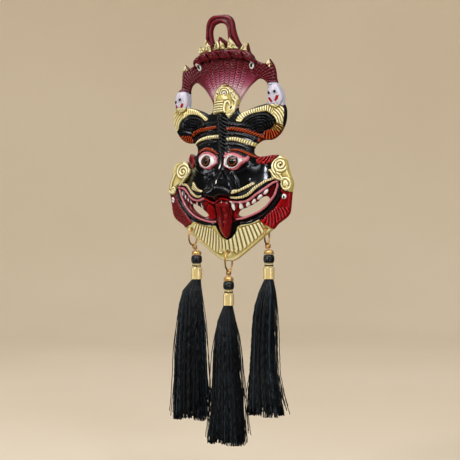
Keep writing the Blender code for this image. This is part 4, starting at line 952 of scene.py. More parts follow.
# %% Spikes, scales and flutes
SPIKES = [(0.6, -25.2, -13.8, 5.6), (12.2, -24.8, -15.4, 5.4), (-12.2, -24.8, -15.0, 5.2),
          (23.6, -27.0, -20.2, 3.4), (-23.6, -27.0, -20.2, 3.4)]
SPIKE_RISE = 3.4
FAN_FOCUS = (0, -98)
FAN_HALF_ANGLE = math.radians(25)
FAN_RIBS = 8
FAN_INNER = 36
FAN_OUTER = 62
FAN_DEPTH = 1.1
SCALE_PITCH = 2.4
SCALE_SAG = 2.2
SCALE_DEPTH = 1.3
FLUTE_FOCUS = (0, -120)
FLUTE_SPREAD = math.radians(27)
LEFT_FLUTE_PITCH = math.radians(2.2)
RIGHT_FLUTE_PITCH = math.radians(2.7)
LEFT_FLUTE_DEPTH = 0.6
RIGHT_FLUTE_DEPTH = 0.95
FLUTE_TOP = [(0, -206), (6.5, -203.5), (13, -195.5), (22, -192.4), (31, -189.6), (38, -190)]
FLUTE_FOOT = [(0, -215.2), (9, -218.2), (16, -214.8), (26.5, -206.6), (35, -200.2), (41, -194.4)]


def spike_height(at):
    """The crown's five leaf spikes, each a ridged blade that narrows upward."""
    rise = np.zeros(len(at))
    for x, foot, tip, half_width in SPIKES:
        up = np.clip((at[:, 1] - foot) / (tip - foot), 0, 1)
        reach = half_width * (1 - up) + 0.4
        blade = np.clip(1 - np.abs(at[:, 0] - x) / reach, 0, 1)
        standing = (at[:, 1] > foot) & (at[:, 1] < tip + 1)
        rise = np.maximum(rise, np.where(standing, SPIKE_RISE * np.sqrt(blade), 0))
    return rise


def fan_height(at):
    """Rounded ribs under the hood's rim, each a column of U-shaped scales."""
    x, z = (at - FAN_FOCUS).T
    angle = np.arctan2(x, z)
    radius = np.hypot(x, z)
    count = (angle / (2 * FAN_HALF_ANGLE) + 0.5) * FAN_RIBS
    rib = np.abs(np.sin(count * math.pi))
    across = 2 * (count - np.floor(count)) - 1
    fade = soft_step((FAN_OUTER + 4 - radius) / 4) * soft_step((radius - FAN_INNER) / 6)
    scale = np.abs(np.sin(math.pi * (radius - SCALE_SAG * across ** 2) / SCALE_PITCH)) ** 0.7
    height = FAN_DEPTH * (rib ** 0.7 - 0.6) + SCALE_DEPTH * (scale - 0.6) * np.sqrt(rib)
    return np.where(np.abs(angle) < FAN_HALF_ANGLE, height * fade, 0)


def flute_height(at):
    """The collar's flutes, between the jaw and the plain border."""
    x, z = at[:, 0], at[:, 1]
    angle = np.arctan2(np.abs(x), FLUTE_FOCUS[1] - z)
    wave = np.cos(2 * math.pi * angle / np.where(x < 0, LEFT_FLUTE_PITCH, RIGHT_FLUTE_PITCH))
    top = np.interp(np.abs(x), *zip(*FLUTE_TOP))
    foot = np.interp(np.abs(x), *zip(*FLUTE_FOOT))
    rounded = 0.8 * (1 - wave)
    fade = soft_step((top - z) / 1.5 + 0.5) * soft_step((z - foot - rounded) / 1.0 + 0.5)
    rounded_crest = 1 - 2 * ((1 - wave) / 2) ** 2.2
    depth = np.where(x < 0, LEFT_FLUTE_DEPTH, RIGHT_FLUTE_DEPTH)
    return depth * rounded_crest * fade * (angle < FLUTE_SPREAD)


print("fan of", FAN_RIBS, "ribs, each with", round((FAN_OUTER - FAN_INNER) / SCALE_PITCH), "scales")

# %% [markdown]
# Each layer now adds to the height over the plan. Sculpting would give the same relief by hand, but a
# function of the plan can be run again on a finer grid. A dome gives dots and ribbons their round section.


# %% Raising a layer
RIB_EDGE = 1.2


def notches(along, side, layer):
    """1 in the middle of each rib and 0 between ribs."""
    return np.abs(np.sin(math.pi * (along + layer["slant"] * side) / layer["pitch"])) ** 1.2


def raise_layer(layer, at, height):
    kind = layer["kind"]
    some = near(layer["loop"], at, 0.5)
    spots = at[some]
    if kind == "area" and layer["rise"]:
        depth = follow(layer["loop"], spots, closed=True)[0] * inside(layer["loop"], spots)
        height[some] += layer["rise"] * np.sqrt(soft_step(depth / layer["bevel"]))
    elif kind == "ribbon":
        away, along, side = follow(layer["line"], spots)
        length = along.max() if len(along) else 1
        widths = layer["widths"]
        half = np.interp(along, np.linspace(0, length, len(widths)), widths)
        swell = np.sqrt(np.clip(1 - (away / half) ** 2, 0, 1))
        if layer["pitch"]:
            swell *= 1 - layer["cut"] * (1 - notches(along, side, layer))
        height[some] += layer["rise"] * swell
    elif kind == "dot":
        x, z, half_width, half_height = layer["oval"]
        lean_x, lean_z = math.cos(layer["turned"]), math.sin(layer["turned"])
        across = (spots[:, 0] - x) * lean_x + (spots[:, 1] - z) * lean_z
        up = (spots[:, 1] - z) * lean_x - (spots[:, 0] - x) * lean_z
        reach = (across / half_width) ** 2 + (up / half_height) ** 2
        height[some] += layer["rise"] * np.sqrt(np.clip(1 - reach, 0, 1))
    elif kind == "ribs":
        within = inside(layer["loop"], spots)
        some = some[within]
        spots = spots[within]
        depth = follow(layer["loop"], spots, closed=True)[0]
        away, along, side = follow(layer["line"], spots)
        if not layer["across"]:
            along = away
        height[some] += layer["depth"] * (notches(along, side, layer) - 0.6) * soft_step(depth / RIB_EDGE)


print("layers to raise", sum(1 for layer in LAYERS if layer.get("rise", 1)))

# %% [markdown]
# The edge of the whole casting is rounded off last, as a worn mould leaves it. Behind the relief the metal
# is cast hollow: the back follows the large forms, a wall's thickness behind them, and lies down flat
# where they come near the wall.


# %% Front and back heights
EDGE_ROUNDING = 1.3
EDGE_REACH = 1.5
EDGE_PIECE = 24


def edge_distance(at, loops):
    """Distance from each point to the nearest edge, up to EDGE_REACH."""
    nearest = np.full(len(at), EDGE_REACH)
    for loop in loops:
        for start in range(0, len(loop), EDGE_PIECE):
            piece = np.take(loop, range(start, start + EDGE_PIECE + 1), axis=0, mode="wrap")
            some = near(piece, at, EDGE_REACH)
            if len(some):
                nearest[some] = np.minimum(nearest[some], follow(piece, at[some])[0])
    return nearest


def front_heights(at, loops):
    height = forms(at) + spike_height(at) + fan_height(at) + flute_height(at)
    for layer in LAYERS:
        raise_layer(layer, at, height)
    share = np.clip(1 - edge_distance(at, loops) / EDGE_REACH, 0, 1)
    return height - EDGE_ROUNDING * (1 - np.sqrt(1 - 0.98 * share ** 2))


def back_heights(at):
    """The hollow back, a metal wall behind the large forms, cast down flat where it is near the wall."""
    above = forms(at) - METAL_WALL - BACK_LAND
    return np.maximum(above, 0) + BACK_LAND * soft_step(above / LAND_SLOPE)


print("height over the nose", np.round(front_heights(np.array([[0.0, -155.0]]), LOOPS), 1))

# %% [markdown]
# The plan is cut into triangles whose edges follow the outline and the border of every painted shape, so
# that the paint has crisp edges. The grid is fine where the carving is fine, and coarser on smooth cheeks.

# %% Grid over the plan
FINE_STEP = 0.42
PLAIN_STEP = 0.56
SMOOTH_STEP = 0.9
BACK_STEP = 3.2
FINE_ZONES = [[(-32, -36), (32, -36), (50, -40), (51, -58), (40, -58), (32, -54), (22, -60), (12, -72),
               (-12, -72), (-22, -60), (-32, -54), (-40, -58), (-51, -58), (-50, -40)],
              [(-62, -76), (-40, -76), (-16, -88), (14, -90), (40, -77), (62, -76), (62, -100), (56, -110),
               (40, -113), (34, -121), (30, -132), (10, -118), (-8, -122), (-24, -116), (-32, -124),
               (-36, -114), (-56, -110), (-62, -100)],
              [(-54, -149), (-18, -156), (-16, -170), (-54, -154)],
              [(52, -145), (12, -158), (12, -170), (30, -166), (54, -150)]]
SMOOTH_ZONES = [[(-34, -139), (-20, -141), (-9, -141), (-14, -152), (-30, -149), (-38, -146)],
                [(18, -142), (42, -137), (42, -146), (32, -151), (20, -156)],
                [(-20, -222), (0, -214), (20, -222), (0, -230)]]


def grid_points(step, low, high):
    """Points of a grid of equal triangles between two corners."""
    grid = []
    for k, z in enumerate(np.arange(low[1], high[1], step * math.sqrt(3) / 2)):
        row = np.arange(low[0] + (k % 2) * step / 2, high[0], step)
        grid.append(np.column_stack([row, np.full(len(row), z)]))
    return np.vstack(grid)


def on_metal(at, loops, margin):
    """Which points lie on metal, more than a margin from its edges."""
    good = inside(loops[0], at)
    for loop in loops[1:]:
        good &= ~inside(loop, at)
    if margin:
        good &= edge_distance(at, loops) > margin
    return good


def clear_of_points(at, taken, distance):
    """Which points are further than a distance from all those that are taken."""
    tree = KDTree(len(taken))
    for k, (x, z) in enumerate(taken):
        tree.insert((x, z, 0), k)
    tree.balance()
    return np.array([tree.find((x, z, 0))[2] > distance for x, z in at], bool)


def in_zones(zones, at):
    return np.any([inside(zone, at) for zone in zones], axis=0)


low, high = LOOPS[0].min(0), LOOPS[0].max(0)
fine = grid_points(FINE_STEP, low, high)
plain = grid_points(PLAIN_STEP, low, high)
smooth = grid_points(SMOOTH_STEP, low, high)
front_grid = np.vstack([fine[in_zones(FINE_ZONES, fine)],
                        plain[~in_zones(FINE_ZONES + SMOOTH_ZONES, plain)],
                        smooth[in_zones(SMOOTH_ZONES, smooth)]])
front_grid = front_grid[on_metal(front_grid, LOOPS, 0.25)]
back_grid = grid_points(BACK_STEP, low, high)
back_grid = back_grid[on_metal(back_grid, LOOPS, 1.2)]
print("grid points in front", len(front_grid), "behind", len(back_grid))

# %% [markdown]
# A constrained Delaunay triangulation joins the grid to the outline and the painted borders. It merges
# points that nearly meet, so the rims are found again from its list of sources. They join front and back.


# %% Triangles over the plan
POINT_MERGE = 0.03


def triangulate(loops, lines, grid, clearance):
    """Triangles over the metal that follow the loops and lines, with each loop's points in order."""
    points = []
    edges = []
    for line in list(loops) + list(lines):
        first = len(points)
        points += [tuple(p) for p in line]
        edges += [(first + k, first + (k + 1) % len(line)) for k in range(len(line))]
    grid = grid[clear_of_points(grid, points, clearance)]
    points += [tuple(p) for p in grid]
    flat = [Vector(p) for p in points]
    made, _, faces, sources, *_ = delaunay_2d_cdt(flat, edges, [], 0, POINT_MERGE, True)
    made = np.array([tuple(p) for p in made])
    faces = np.array([tuple(face) for face in faces])
    number = {}
    for k, merged in enumerate(sources):
        for source in merged:
            number[source] = k
    middles = made[faces].mean(1)
    faces = faces[on_metal(middles, loops, 0)]
    used = np.unique(faces)
    renumbered = np.full(len(made), -1)
    renumbered[used] = np.arange(len(used))
    rims = []
    first = 0
    for loop in loops:
        rims.append([renumbered[number[first + k]] for k in range(len(loop))])
        first += len(loop)
    return made[used], renumbered[faces], rims


painted_lines = [layer["loop"] for layer in LAYERS if layer["finish"]]
front_points, front_faces, front_rims = triangulate(LOOPS, painted_lines, front_grid, 0.3)
back_points, back_faces, back_rims = triangulate(LOOPS, [], back_grid, 1.0)
print("front triangles", len(front_faces), "back triangles", len(back_faces))

# %% [markdown]
# Every triangle in front takes the last finish painted over its middle. Grooves and crests are told apart
# by comparing each spot's height with the mean around it. Each paint is darker in the grooves and paler on
# the crests: partly pooled paint and worn crests, partly painted shade in the hollows and painted highlight
# on the ridges. Gold paint shows it most: brown in the grooves, cream on the crests.


# %% Paint and grooves
def paint_faces(middles):
    """The finish of each triangle, as a number into FINISHES."""
    number = np.zeros(len(middles), int)
    for layer in LAYERS:
        if layer["finish"]:
            some = near(layer["loop"], middles, 0)
            within = inside(layer["loop"], middles[some])
            number[some[within]] = FINISHES.index(layer["finish"])
    return number


def groove_depth(faces, heights, rounds):
    """How far each point stands above the mean of the points around it, over some rounds."""
    pairs = np.vstack([faces[:, [0, 1]], faces[:, [1, 2]], faces[:, [2, 0]]])
    pairs = np.vstack([pairs, pairs[:, ::-1]])
    count = np.bincount(pairs[:, 0], minlength=len(heights))
    mean = heights.copy()
    for _ in range(rounds):
        total = np.bincount(pairs[:, 0], weights=mean[pairs[:, 1]], minlength=len(heights))
        mean = (mean + total) / (count + 1)
    return heights - mean


FINISHES = ["black", "maroon", "gold", "white", "lilac white", "red", "dark red", "tongue red", "maroon red",
            "pink", "orange", "brown", "brown gold", "cream gold", "pit shade"]
THINNEST_METAL = 0.7 * METAL_WALL
front = front_heights(front_points, LOOPS)
front = np.maximum(front, back_heights(front_points) + THINNEST_METAL)
finish_numbers = paint_faces(front_points[front_faces].mean(1))
fine_carving = groove_depth(front_faces, front, 4)
broad_carving = groove_depth(front_faces, front, 18)
edge_fade = soft_step(edge_distance(front_points, LOOPS) / EDGE_REACH)
# The mark below is partly pooled paint and wear, partly painted shade in grooves and painted highlight on
# crests.
carve = 0.5 + edge_fade * (np.clip(0.5 + 1.5 * fine_carving + 0.18 * broad_carving, 0, 1) - 0.5)
print("carving, fine", np.round(np.percentile(fine_carving, (2, 20, 80, 98)), 2), "broad",
      np.round(np.percentile(broad_carving, (2, 20, 80, 98)), 2))

# %% [markdown]
# The paint is gloss enamel, brushed on by hand. Such paint has an IOR near 1.5 and a low roughness, which
# gives the eye small sharp glints, and a slight waviness from the brush bends them. Each colour is darker
# in a groove, partly where it pools and partly as painted shade, and paler on a crest, partly where it wears
# and partly as painted highlight.


# %% Gloss enamel
BRUSH_WAVE = 4.0
BRUSH_BUMP = (0.15, 0.3)


def shade_and_wear_tint(material, spots, spread, stops):
    """A colour from groove to crest: pooled paint and painted shade in a groove, wear and painted highlight
    on a crest. Some noise makes the paint's tones meet unevenly.
    """
    carving = add(material, "ShaderNodeAttribute", {"attribute_name": "carve"})
    shifted = add(material, "ShaderNodeMath", {"operation": "MULTIPLY_ADD", 1: spread, 2: -spread / 2},
                  {0: spots})
    level = add(material, "ShaderNodeMath", {"operation": "ADD"},
                {0: carving.outputs["Fac"], 1: shifted.outputs["Value"]})
    ramp = add(material, "ShaderNodeValToRGB", {"stops": stops}, {"Fac": level.outputs["Value"]})
    return ramp.outputs["Color"]


def brushed_enamel(name, colour, pooled_and_shaded, worn_and_lit, roughness):
    material, shader, place = start_material(name, IOR=1.5)
    spots = add(material, "ShaderNodeTexNoise", {"Scale": 1 / (BRUSH_WAVE * MM), "Detail": 3.0},
                {"Vector": place}).outputs["Fac"]
    tint = shade_and_wear_tint(material, spots, 0.16, [(0.22, pooled_and_shaded), (0.5, colour), (0.85, worn_and_lit)])
    return finish_material(material, shader, tint, spots, (roughness - 0.05, roughness + 0.06), BRUSH_BUMP)


# Each enamel runs from its groove colour, darkened by pooling and by painted shade, to its crest colour,
# paled by wear and by painted highlight.
ENAMELS = {
    "black": brushed_enamel("gloss black enamel", "#060708", "#020203", "#0e1114", 0.12),
    "white": brushed_enamel("gloss white enamel", "#d8d8de", "#a49ca6", "#f2f2f6", 0.25),
    "lilac white": brushed_enamel("lilac white enamel", "#b9b9cf", "#80809c", "#d2d2e4", 0.3),
    "red": brushed_enamel("bright red enamel", "#78040a", "#260203", "#ac1016", 0.12),
    "dark red": brushed_enamel("dark red enamel", "#540308", "#180102", "#980a10", 0.12),
    "tongue red": brushed_enamel("deep red enamel", "#580a0c", "#240203", "#82161a", 0.1),
    "maroon red": brushed_enamel("maroon enamel", "#5a0c10", "#240305", "#8c2a2a", 0.12),
    "pink": brushed_enamel("pink enamel", "#a04454", "#5c1826", "#c67884", 0.2),
    "orange": brushed_enamel("orange enamel", "#581606", "#100302", "#b04414", 0.2),
    "brown": brushed_enamel("brown enamel", "#5a2a0d", "#30160a", "#804622", 0.2),
    # The pit finish is painted shade: a near black brown laid in sunken spots.
    "pit shade": brushed_enamel("near black paint as pit shade", "#2c200c", "#140e04", "#5a481e", 0.4),
}
print("enamels", len(ENAMELS))

# %% [markdown]
# Gold paint is bronze powder in varnish. The powder makes it part metal, and the varnish keeps it softer
# than plate. Its flakes are about 0.05 mm, too fine to show, so they are drawn seven times as coarse.


# %% Gold paint
FLAKE = 0.35


def gold_paint(name, groove, colour, crest, metallic):
    """Flakes that glint. Browner in a groove, where varnish pools and painted shade darkens it, paler on a
    crest as painted highlight.
    """
    material, shader, place = start_material(name, Metallic=metallic, Coat_Weight=0.15, Coat_Roughness=0.2)
    flakes = add(material, "ShaderNodeTexVoronoi", {"Scale": 1 / (FLAKE * MM)}, {"Vector": place})
    spots = add(material, "ShaderNodeTexNoise", {"Scale": 1 / (3 * MM), "Detail": 4.0}, {"Vector": place})
    tint = shade_and_wear_tint(material, spots.outputs["Fac"], 0.2, [(0.2, groove), (0.5, colour), (0.8, crest)])
    return finish_material(material, shader, tint, flakes.outputs["Distance"], (0.24, 0.38), (0.1, 0.1))


# Each gold paint's first colour is its groove, pooled varnish and painted shade, and its last its crest, with
# painted highlight.
ENAMELS["gold"] = gold_paint("pale gold bronze paint", "#8c7838", "#d4c272", "#fefad0", 0.32)
ENAMELS["brown gold"] = gold_paint("brown gold bronze paint", "#2e1a0a", "#74501e", "#b08a40", 0.4)
ENAMELS["cream gold"] = gold_paint("cream gold bronze paint", "#5c4820", "#d6c67c", "#fdf5cc", 0.3)
print("enamels and gold paints", len(ENAMELS))

# %% [markdown]
# The hood's lacquer is shaded by hand from maroon to a pale pink. A second attribute on the mesh, the
# blush, says how far the shading has gone at each spot.


# %% Shaded lacquer of the hood
def shaded_lacquer():
    material, shader, place = start_material("shaded maroon lacquer", IOR=1.5)
    blush = add(material, "ShaderNodeAttribute", {"attribute_name": "blush"})
    carving = add(material, "ShaderNodeAttribute", {"attribute_name": "carve"})
    spots = add(material, "ShaderNodeTexNoise", {"Scale": 1 / (2.5 * MM), "Detail": 3.0}, {"Vector": place})
    base = add(material, "ShaderNodeValToRGB",
               {"stops": [(0.0, "#6e1a26"), (0.25, "#7c2032"), (0.5, "#a04060"), (0.75, "#c07890"),
                          (1.0, "#e8ccd8")]}, {"Fac": blush.outputs["Fac"]})
    # The carving multiplies the lacquer: full colour on the crests, greyer towards the grooves, as painted
    # shade in the grooves and painted highlight on the crests, partly pooling and wear.
    relief = add(material, "ShaderNodeValToRGB",
                 {"stops": [(0.1, "#7c6c70"), (0.5, "#ccc2c4"), (0.8, "#ffffff")]},
                 {"Fac": carving.outputs["Fac"]})
    tint = add(material, "ShaderNodeMix", {"data_type": "RGBA", "blend_type": "MULTIPLY", "Factor": 1.0},
               {6: base.outputs["Color"], 7: relief.outputs["Color"]})
    return finish_material(material, shader, tint.outputs[2], spots.outputs["Fac"], (0.17, 0.3), BRUSH_BUMP)


ENAMELS["maroon"] = shaded_lacquer()
BLUSH_CENTRE_X = 4
BLUSH_HALF_ANGLE = math.radians(38)
BLUSH_EDGE = math.radians(12)
BLUSH_TOP = -36


def blush_over(at):
    """0 on the maroon parts, and towards 1 at the foot of the fan."""
    x, z = at[:, 0] - BLUSH_CENTRE_X, at[:, 1] - FAN_FOCUS[1]
    radius = np.hypot(x, z)
    angle = np.abs(np.arctan2(x, z))
    down = (FAN_OUTER - radius) / (FAN_OUTER - FAN_INNER)
    sideways = soft_step((BLUSH_HALF_ANGLE - angle) / BLUSH_EDGE)
    return np.clip(down, 0, 1) * sideways * (at[:, 1] < BLUSH_TOP)


print("blush at the fan's foot", np.round(blush_over(np.array([[4.0, -56.0]])), 2))

# %% [markdown]
# Next come the few steps that every piece shares: from the plan to metres, from points and faces to an
# object, and from an object to a piece that stands for its solids and rides with them.


# %% From plan to pieces
def to_metres(at, height):
    """Plan units to metres, with the small lean at which the casting hangs."""
    x, z = at[:, 0], at[:, 1]
    return np.column_stack([(x * math.cos(LEAN) - z * math.sin(LEAN)) * UNIT, -height * UNIT,
                            (x * math.sin(LEAN) + z * math.cos(LEAN)) * UNIT])


def turned_to_front(faces, points):
    """The triangles with their points anticlockwise as seen from the front."""
    a, b, c = (points[faces[:, k]] for k in range(3))
    area_sign = (b[:, 0] - a[:, 0]) * (c[:, 1] - a[:, 1]) - (c[:, 0] - a[:, 0]) * (b[:, 1] - a[:, 1])
    return np.where(area_sign[:, None] > 0, faces, faces[:, ::-1])


def add_mesh(name, spots, faces, materials, numbers=None, sharp=50):
    """An object from points and faces. The numbers say which material each face takes."""
    data = bpy.data.meshes.new(name)
    data.from_pydata([tuple(p) for p in spots], [], [tuple(int(v) for v in f) for f in faces])
    for material in materials:
        data.materials.append(material)
    if numbers is not None:
        data.polygons.foreach_set("material_index", np.asarray(numbers, np.int32))
    data.shade_smooth()
    data.set_sharp_from_angle(angle=math.radians(sharp))
    made = bpy.data.objects.new(name, data)
    bpy.context.scene.collection.objects.link(made)
    return made


def settle(piece, slot, *nodes):
    """The piece rides with the body and stands for the solids, which it hides. The slot is not used."""
    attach(piece, "root")
    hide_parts(*nodes)
    return piece


print("the plan's lowest point lies at", np.round(to_metres(np.array([[0, -225.5]]), np.zeros(1))[0, 2], 4))

# %% [markdown]
# Now the casting itself: the carved front, the plain hollow back and the edge walls between them, joined
# into one closed body as it comes from the mould. A brush runs over the edge, so each wall takes the
# finish of the front triangle that it meets.


# %% Casting
def build_casting():
    """The closed body, with its finishes and the two attributes that they read."""
    back = back_heights(back_points)
    spots = np.vstack([to_metres(front_points, front), to_metres(back_points, back)])
    first_back = len(front_points)
    walls = []
    wall_finishes = []
    edge_finishes = {}
    for (a, b, c), number in zip(front_faces.tolist(), finish_numbers.tolist()):
        edge_finishes.update({frozenset(edge): number for edge in ((a, b), (b, c), (c, a))})
    for rim, far_rim, loop in zip(front_rims, back_rims, LOOPS):
        for k in range(len(loop)):
            a, b = int(rim[k]), int(rim[(k + 1) % len(loop)])
            c, d = far_rim[(k + 1) % len(loop)] + first_back, far_rim[k] + first_back
            walls += [(a, b, c), (a, c, d)]
            wall_finishes += 2 * [edge_finishes.get(frozenset((a, b)), FINISHES.index("black"))]
    outer = turned_to_front(front_faces, front_points)
    inner = turned_to_front(back_faces, back_points)[:, ::-1] + first_back
    faces = np.vstack([outer, inner, np.array(walls)])
    numbers = np.concatenate([finish_numbers, np.full(len(inner), FINISHES.index("black")), wall_finishes])
    made = add_mesh("painted_casting", spots, faces, [ENAMELS[name] for name in FINISHES], numbers, 55)
    data = made.data
    turn_faces_out(data)
    for name, values in (("carve", np.concatenate([carve, np.full(len(back), 0.5)])),
                         ("blush", blush_over(np.vstack([front_points, back_points])))):
        attribute = data.attributes.new(name, "FLOAT", "POINT")
        attribute.data.foreach_set("value", values.astype(np.float32))
    return settle(made, "painted_casting", "mask_casting")


def turn_faces_out(data):
    mesh = bmesh.new()
    mesh.from_mesh(data)
    bmesh.ops.recalc_face_normals(mesh, faces=mesh.faces)
    mesh.to_mesh(data)
    mesh.free()


casting = build_casting()
print("casting triangles", len(casting.data.polygons))

# %% [markdown]
# The rings and eyes are drawn brass wire, bent by hand. Brass is a metal, so its colour is that of its
# reflections, and faint marks of the drawing die soften them to a roughness of about a third.


# %% Brass wire
def mottled(name, grain, detail, stops, roughness, **settings):
    """A material whose colour and roughness vary with one noise. Its grain is in millimetres."""
    material, shader, place = start_material(name, **settings)
    spots = add(material, "ShaderNodeTexNoise", {"Scale": 1 / (grain * MM), "Detail": detail},
                {"Vector": place})
    tint = add(material, "ShaderNodeValToRGB", {"stops": stops}, {"Fac": spots.outputs["Fac"]})
    return finish_material(material, shader, tint.outputs["Color"], spots.outputs["Fac"], roughness)


WIRE = mottled("drawn brass wire", 0.8, 3.0, [(0.3, "#d8963c"), (0.7, "#f8cd7c")], (0.28, 0.42), Metallic=1.0)
print("wire is", WIRE.name)

# %% [markdown]
# A bevelled curve would draw a wire too. A tube in mesh code keeps its section from turning on the way
# round, and joins with others into one mesh.


# %% Tubes along a route
def tube(route, radius, sides, closed):
    """Points and faces of a tube along a route, capped at its ends where it is open."""
    route = [Vector(p) for p in route]
    count = len(route)
    spots = []
    faces = []
    up = Vector((0.1, 0.2, 1)).normalized()
    for k, middle in enumerate(route):
        after = route[(k + 1) % count] if closed else route[min(k + 1, count - 1)]
        before = route[k - 1] if closed else route[max(k - 1, 0)]
        along = (after - before).normalized()
        across = along.cross(up)
        if across.length < 0.2:
            across = along.cross(Vector((1, 0, 0)))
        across.normalize()
        up = across.cross(along).normalized()
        for s in range(sides):
            turn = 2 * math.pi * s / sides
            spots.append(middle + radius * (math.cos(turn) * across + math.sin(turn) * up))
    rows = count if closed else count - 1
    for k in range(rows):
        here, there = k * sides, (k + 1) % count * sides
        for s in range(sides):
            after = (s + 1) % sides
            faces += [(here + s, there + s, there + after), (here + s, there + after, here + after)]
    if not closed:
        for base, order in ((0, 1), ((count - 1) * sides, -1)):
            faces += [(base, base + s, base + s + 1)[::order] for s in range(1, sides - 1)]
    return spots, faces


def box_middle(node):
    """The middle of a solid's box, and its spans."""
    low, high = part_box(node)
    return (Vector(low) + Vector(high)) / 2, Vector(high) - Vector(low)


print("left ring spans", [round(s, 4) for s in box_middle("jump_ring_left")[1]])

# %% [markdown]
# Each ring passes through a hole in the collar, turned a little about its own upright axis, and carries a
# smaller eye. The eye's foot is wound with three turns of finer wire. Middles and heights are read from
# the solids that they stand for. The wire is thicker than theirs, so ring and eye press into each other a
# little where they cross.

# %% Rings and eyes
SIDES = ("left", "centre", "right")
WIRE_RADIUS = 0.0008
WIRE_SIDES = 12
RING_TURNS = {"left": math.radians(22), "centre": math.radians(16), "right": math.radians(2)}
RING_WIDTH = 0.0104
EYE_WIDTH = 0.0046
WINDING_RADIUS = 0.0015
WINDING_WIRE = 0.00038
WINDING_TURNS = 3
WINDING_STEPS = 48
WINDING_HEIGHT = 0.0021
WINDING_DROP = 0.0003


def build_ring(side):
    middle, span = box_middle(f"jump_ring_{side}")
    turn_out = RING_TURNS[side]
    across = Vector((math.sin(turn_out), math.cos(turn_out), 0))
    half_height = span.z / 2 - WIRE_RADIUS
    route = [middle + across * (RING_WIDTH / 2 * math.cos(t)) + Vector((0, 0, half_height * math.sin(t)))
             for t in np.linspace(0, 2 * math.pi, 64, endpoint=False)]
    spots, faces = tube(route, WIRE_RADIUS, WIRE_SIDES, True)
    return settle(add_mesh(f"ring_wire_{side}", spots, faces, [WIRE]), "gold_wire", f"jump_ring_{side}")


def build_eye(side):
    """The eye's loop, and a few turns of finer wire wound round its foot."""
    middle, span = box_middle(f"wire_eye_{side}")
    turn_out = RING_TURNS[side]
    across = Vector((math.cos(turn_out), -math.sin(turn_out), 0))
    half_height = span.z / 2 - WIRE_RADIUS
    swing = Vector((max(0, span.x / 2 - WIRE_RADIUS - EYE_WIDTH / 2 * math.cos(turn_out)), 0, 0))
    route = [middle + across * (EYE_WIDTH / 2 * math.cos(t)) + Vector((0, 0, half_height * math.sin(t)))
             - swing * math.sin(t) for t in np.linspace(0, 2 * math.pi, 48, endpoint=False)]
    spots, faces = tube(route, WIRE_RADIUS, WIRE_SIDES, True)
    foot = middle - Vector((0, 0, half_height)) + swing
    winding = []
    for k in range(WINDING_STEPS + 1):
        turn = 2 * math.pi * WINDING_TURNS * k / WINDING_STEPS
        up = WINDING_HEIGHT * k / WINDING_STEPS - WINDING_DROP
        winding.append(foot + Vector((math.cos(turn) * WINDING_RADIUS, math.sin(turn) * WINDING_RADIUS, up)))
    more, more_faces = tube(winding, WINDING_WIRE, 8, False)
    faces += [tuple(v + len(spots) for v in face) for face in more_faces]
    return settle(add_mesh(f"eye_wire_{side}", spots + more, faces, [WIRE]), "gold_wire", f"wire_eye_{side}")


for side in SIDES:
    build_ring(side)
    build_eye(side)
print("rings and eyes", 2 * len(SIDES))

# %% [markdown]
# Cap, spacer and sleeve are pressed brass with gold plate, polished and coated with clear lacquer. The
# plate is only part metallic, so that the sleeves stay bright where the room that they mirror is dark. The
# caps are warmer. The bead is black thread under varnish, and the skirts are the same thread left loose.


# %% Finishes of the trims and beads
def gold_plate(name, light, dark, rough, metallic=1.0):
    return mottled(name, 6, 2.0, [(0.3, dark), (0.7, light)], (rough, rough + 0.04), Metallic=metallic,
                   Coat_Weight=0.8, Coat_Roughness=0.1)


def black_thread(name, rough):
    """Twisted silk thread, nearly black. Each thread has a random tone of its own, up to a dull blue, which
    is partly painted sheen.
    """
    material, shader, place = start_material(name, IOR=1.45)
    tone = add(material, "ShaderNodeAttribute", {"attribute_name": "tone"})
    spots = add(material, "ShaderNodeTexNoise", {"Scale": 1 / (2.5 * MM), "Detail": 2.0}, {"Vector": place})
    mixed = add(material, "ShaderNodeMath", {"operation": "MULTIPLY_ADD", 1: 0.5},
                {0: spots.outputs["Fac"], 2: tone.outputs["Fac"]})
    tint = add(material, "ShaderNodeValToRGB",
               {"stops": [(0.3, "#030405"), (0.75, "#090d10"), (1.0, "#2a3842")]},
               {"Fac": mixed.outputs["Value"]})
    return finish_material(material, shader, tint.outputs["Color"], spots.outputs["Fac"],
                           (rough, rough + 0.15))


PLATE = gold_plate("lacquered gold plate", "#fff0b8", "#ffe498", 0.2, 0.42)
CAP_PLATE = gold_plate("gold plate of the caps", "#fad488", "#e0a856", 0.25, 0.75)
SPARKLE = gold_plate("cut crystal foil", "#f6ead0", "#d8b878", 0.1)
THREAD = black_thread("black silk thread", 0.3)
WOUND = mottled("varnished black thread", 1.2, 2.0, [(0.3, "#040506"), (0.8, "#10161b")], (0.15, 0.35),
                IOR=1.5, Coat_Weight=0.6, Coat_Roughness=0.06)
print("trim finishes", [finish.name for finish in (PLATE, CAP_PLATE, SPARKLE, THREAD, WOUND)])

# %% [markdown]
# Every trim is turned on a lathe or pressed round a mandrel, so each is a profile swept round an upright
# axis. A screw modifier would do that for a plain form. Here a function may also change the radius on the
# way round, which gives pearls, facets and windings.


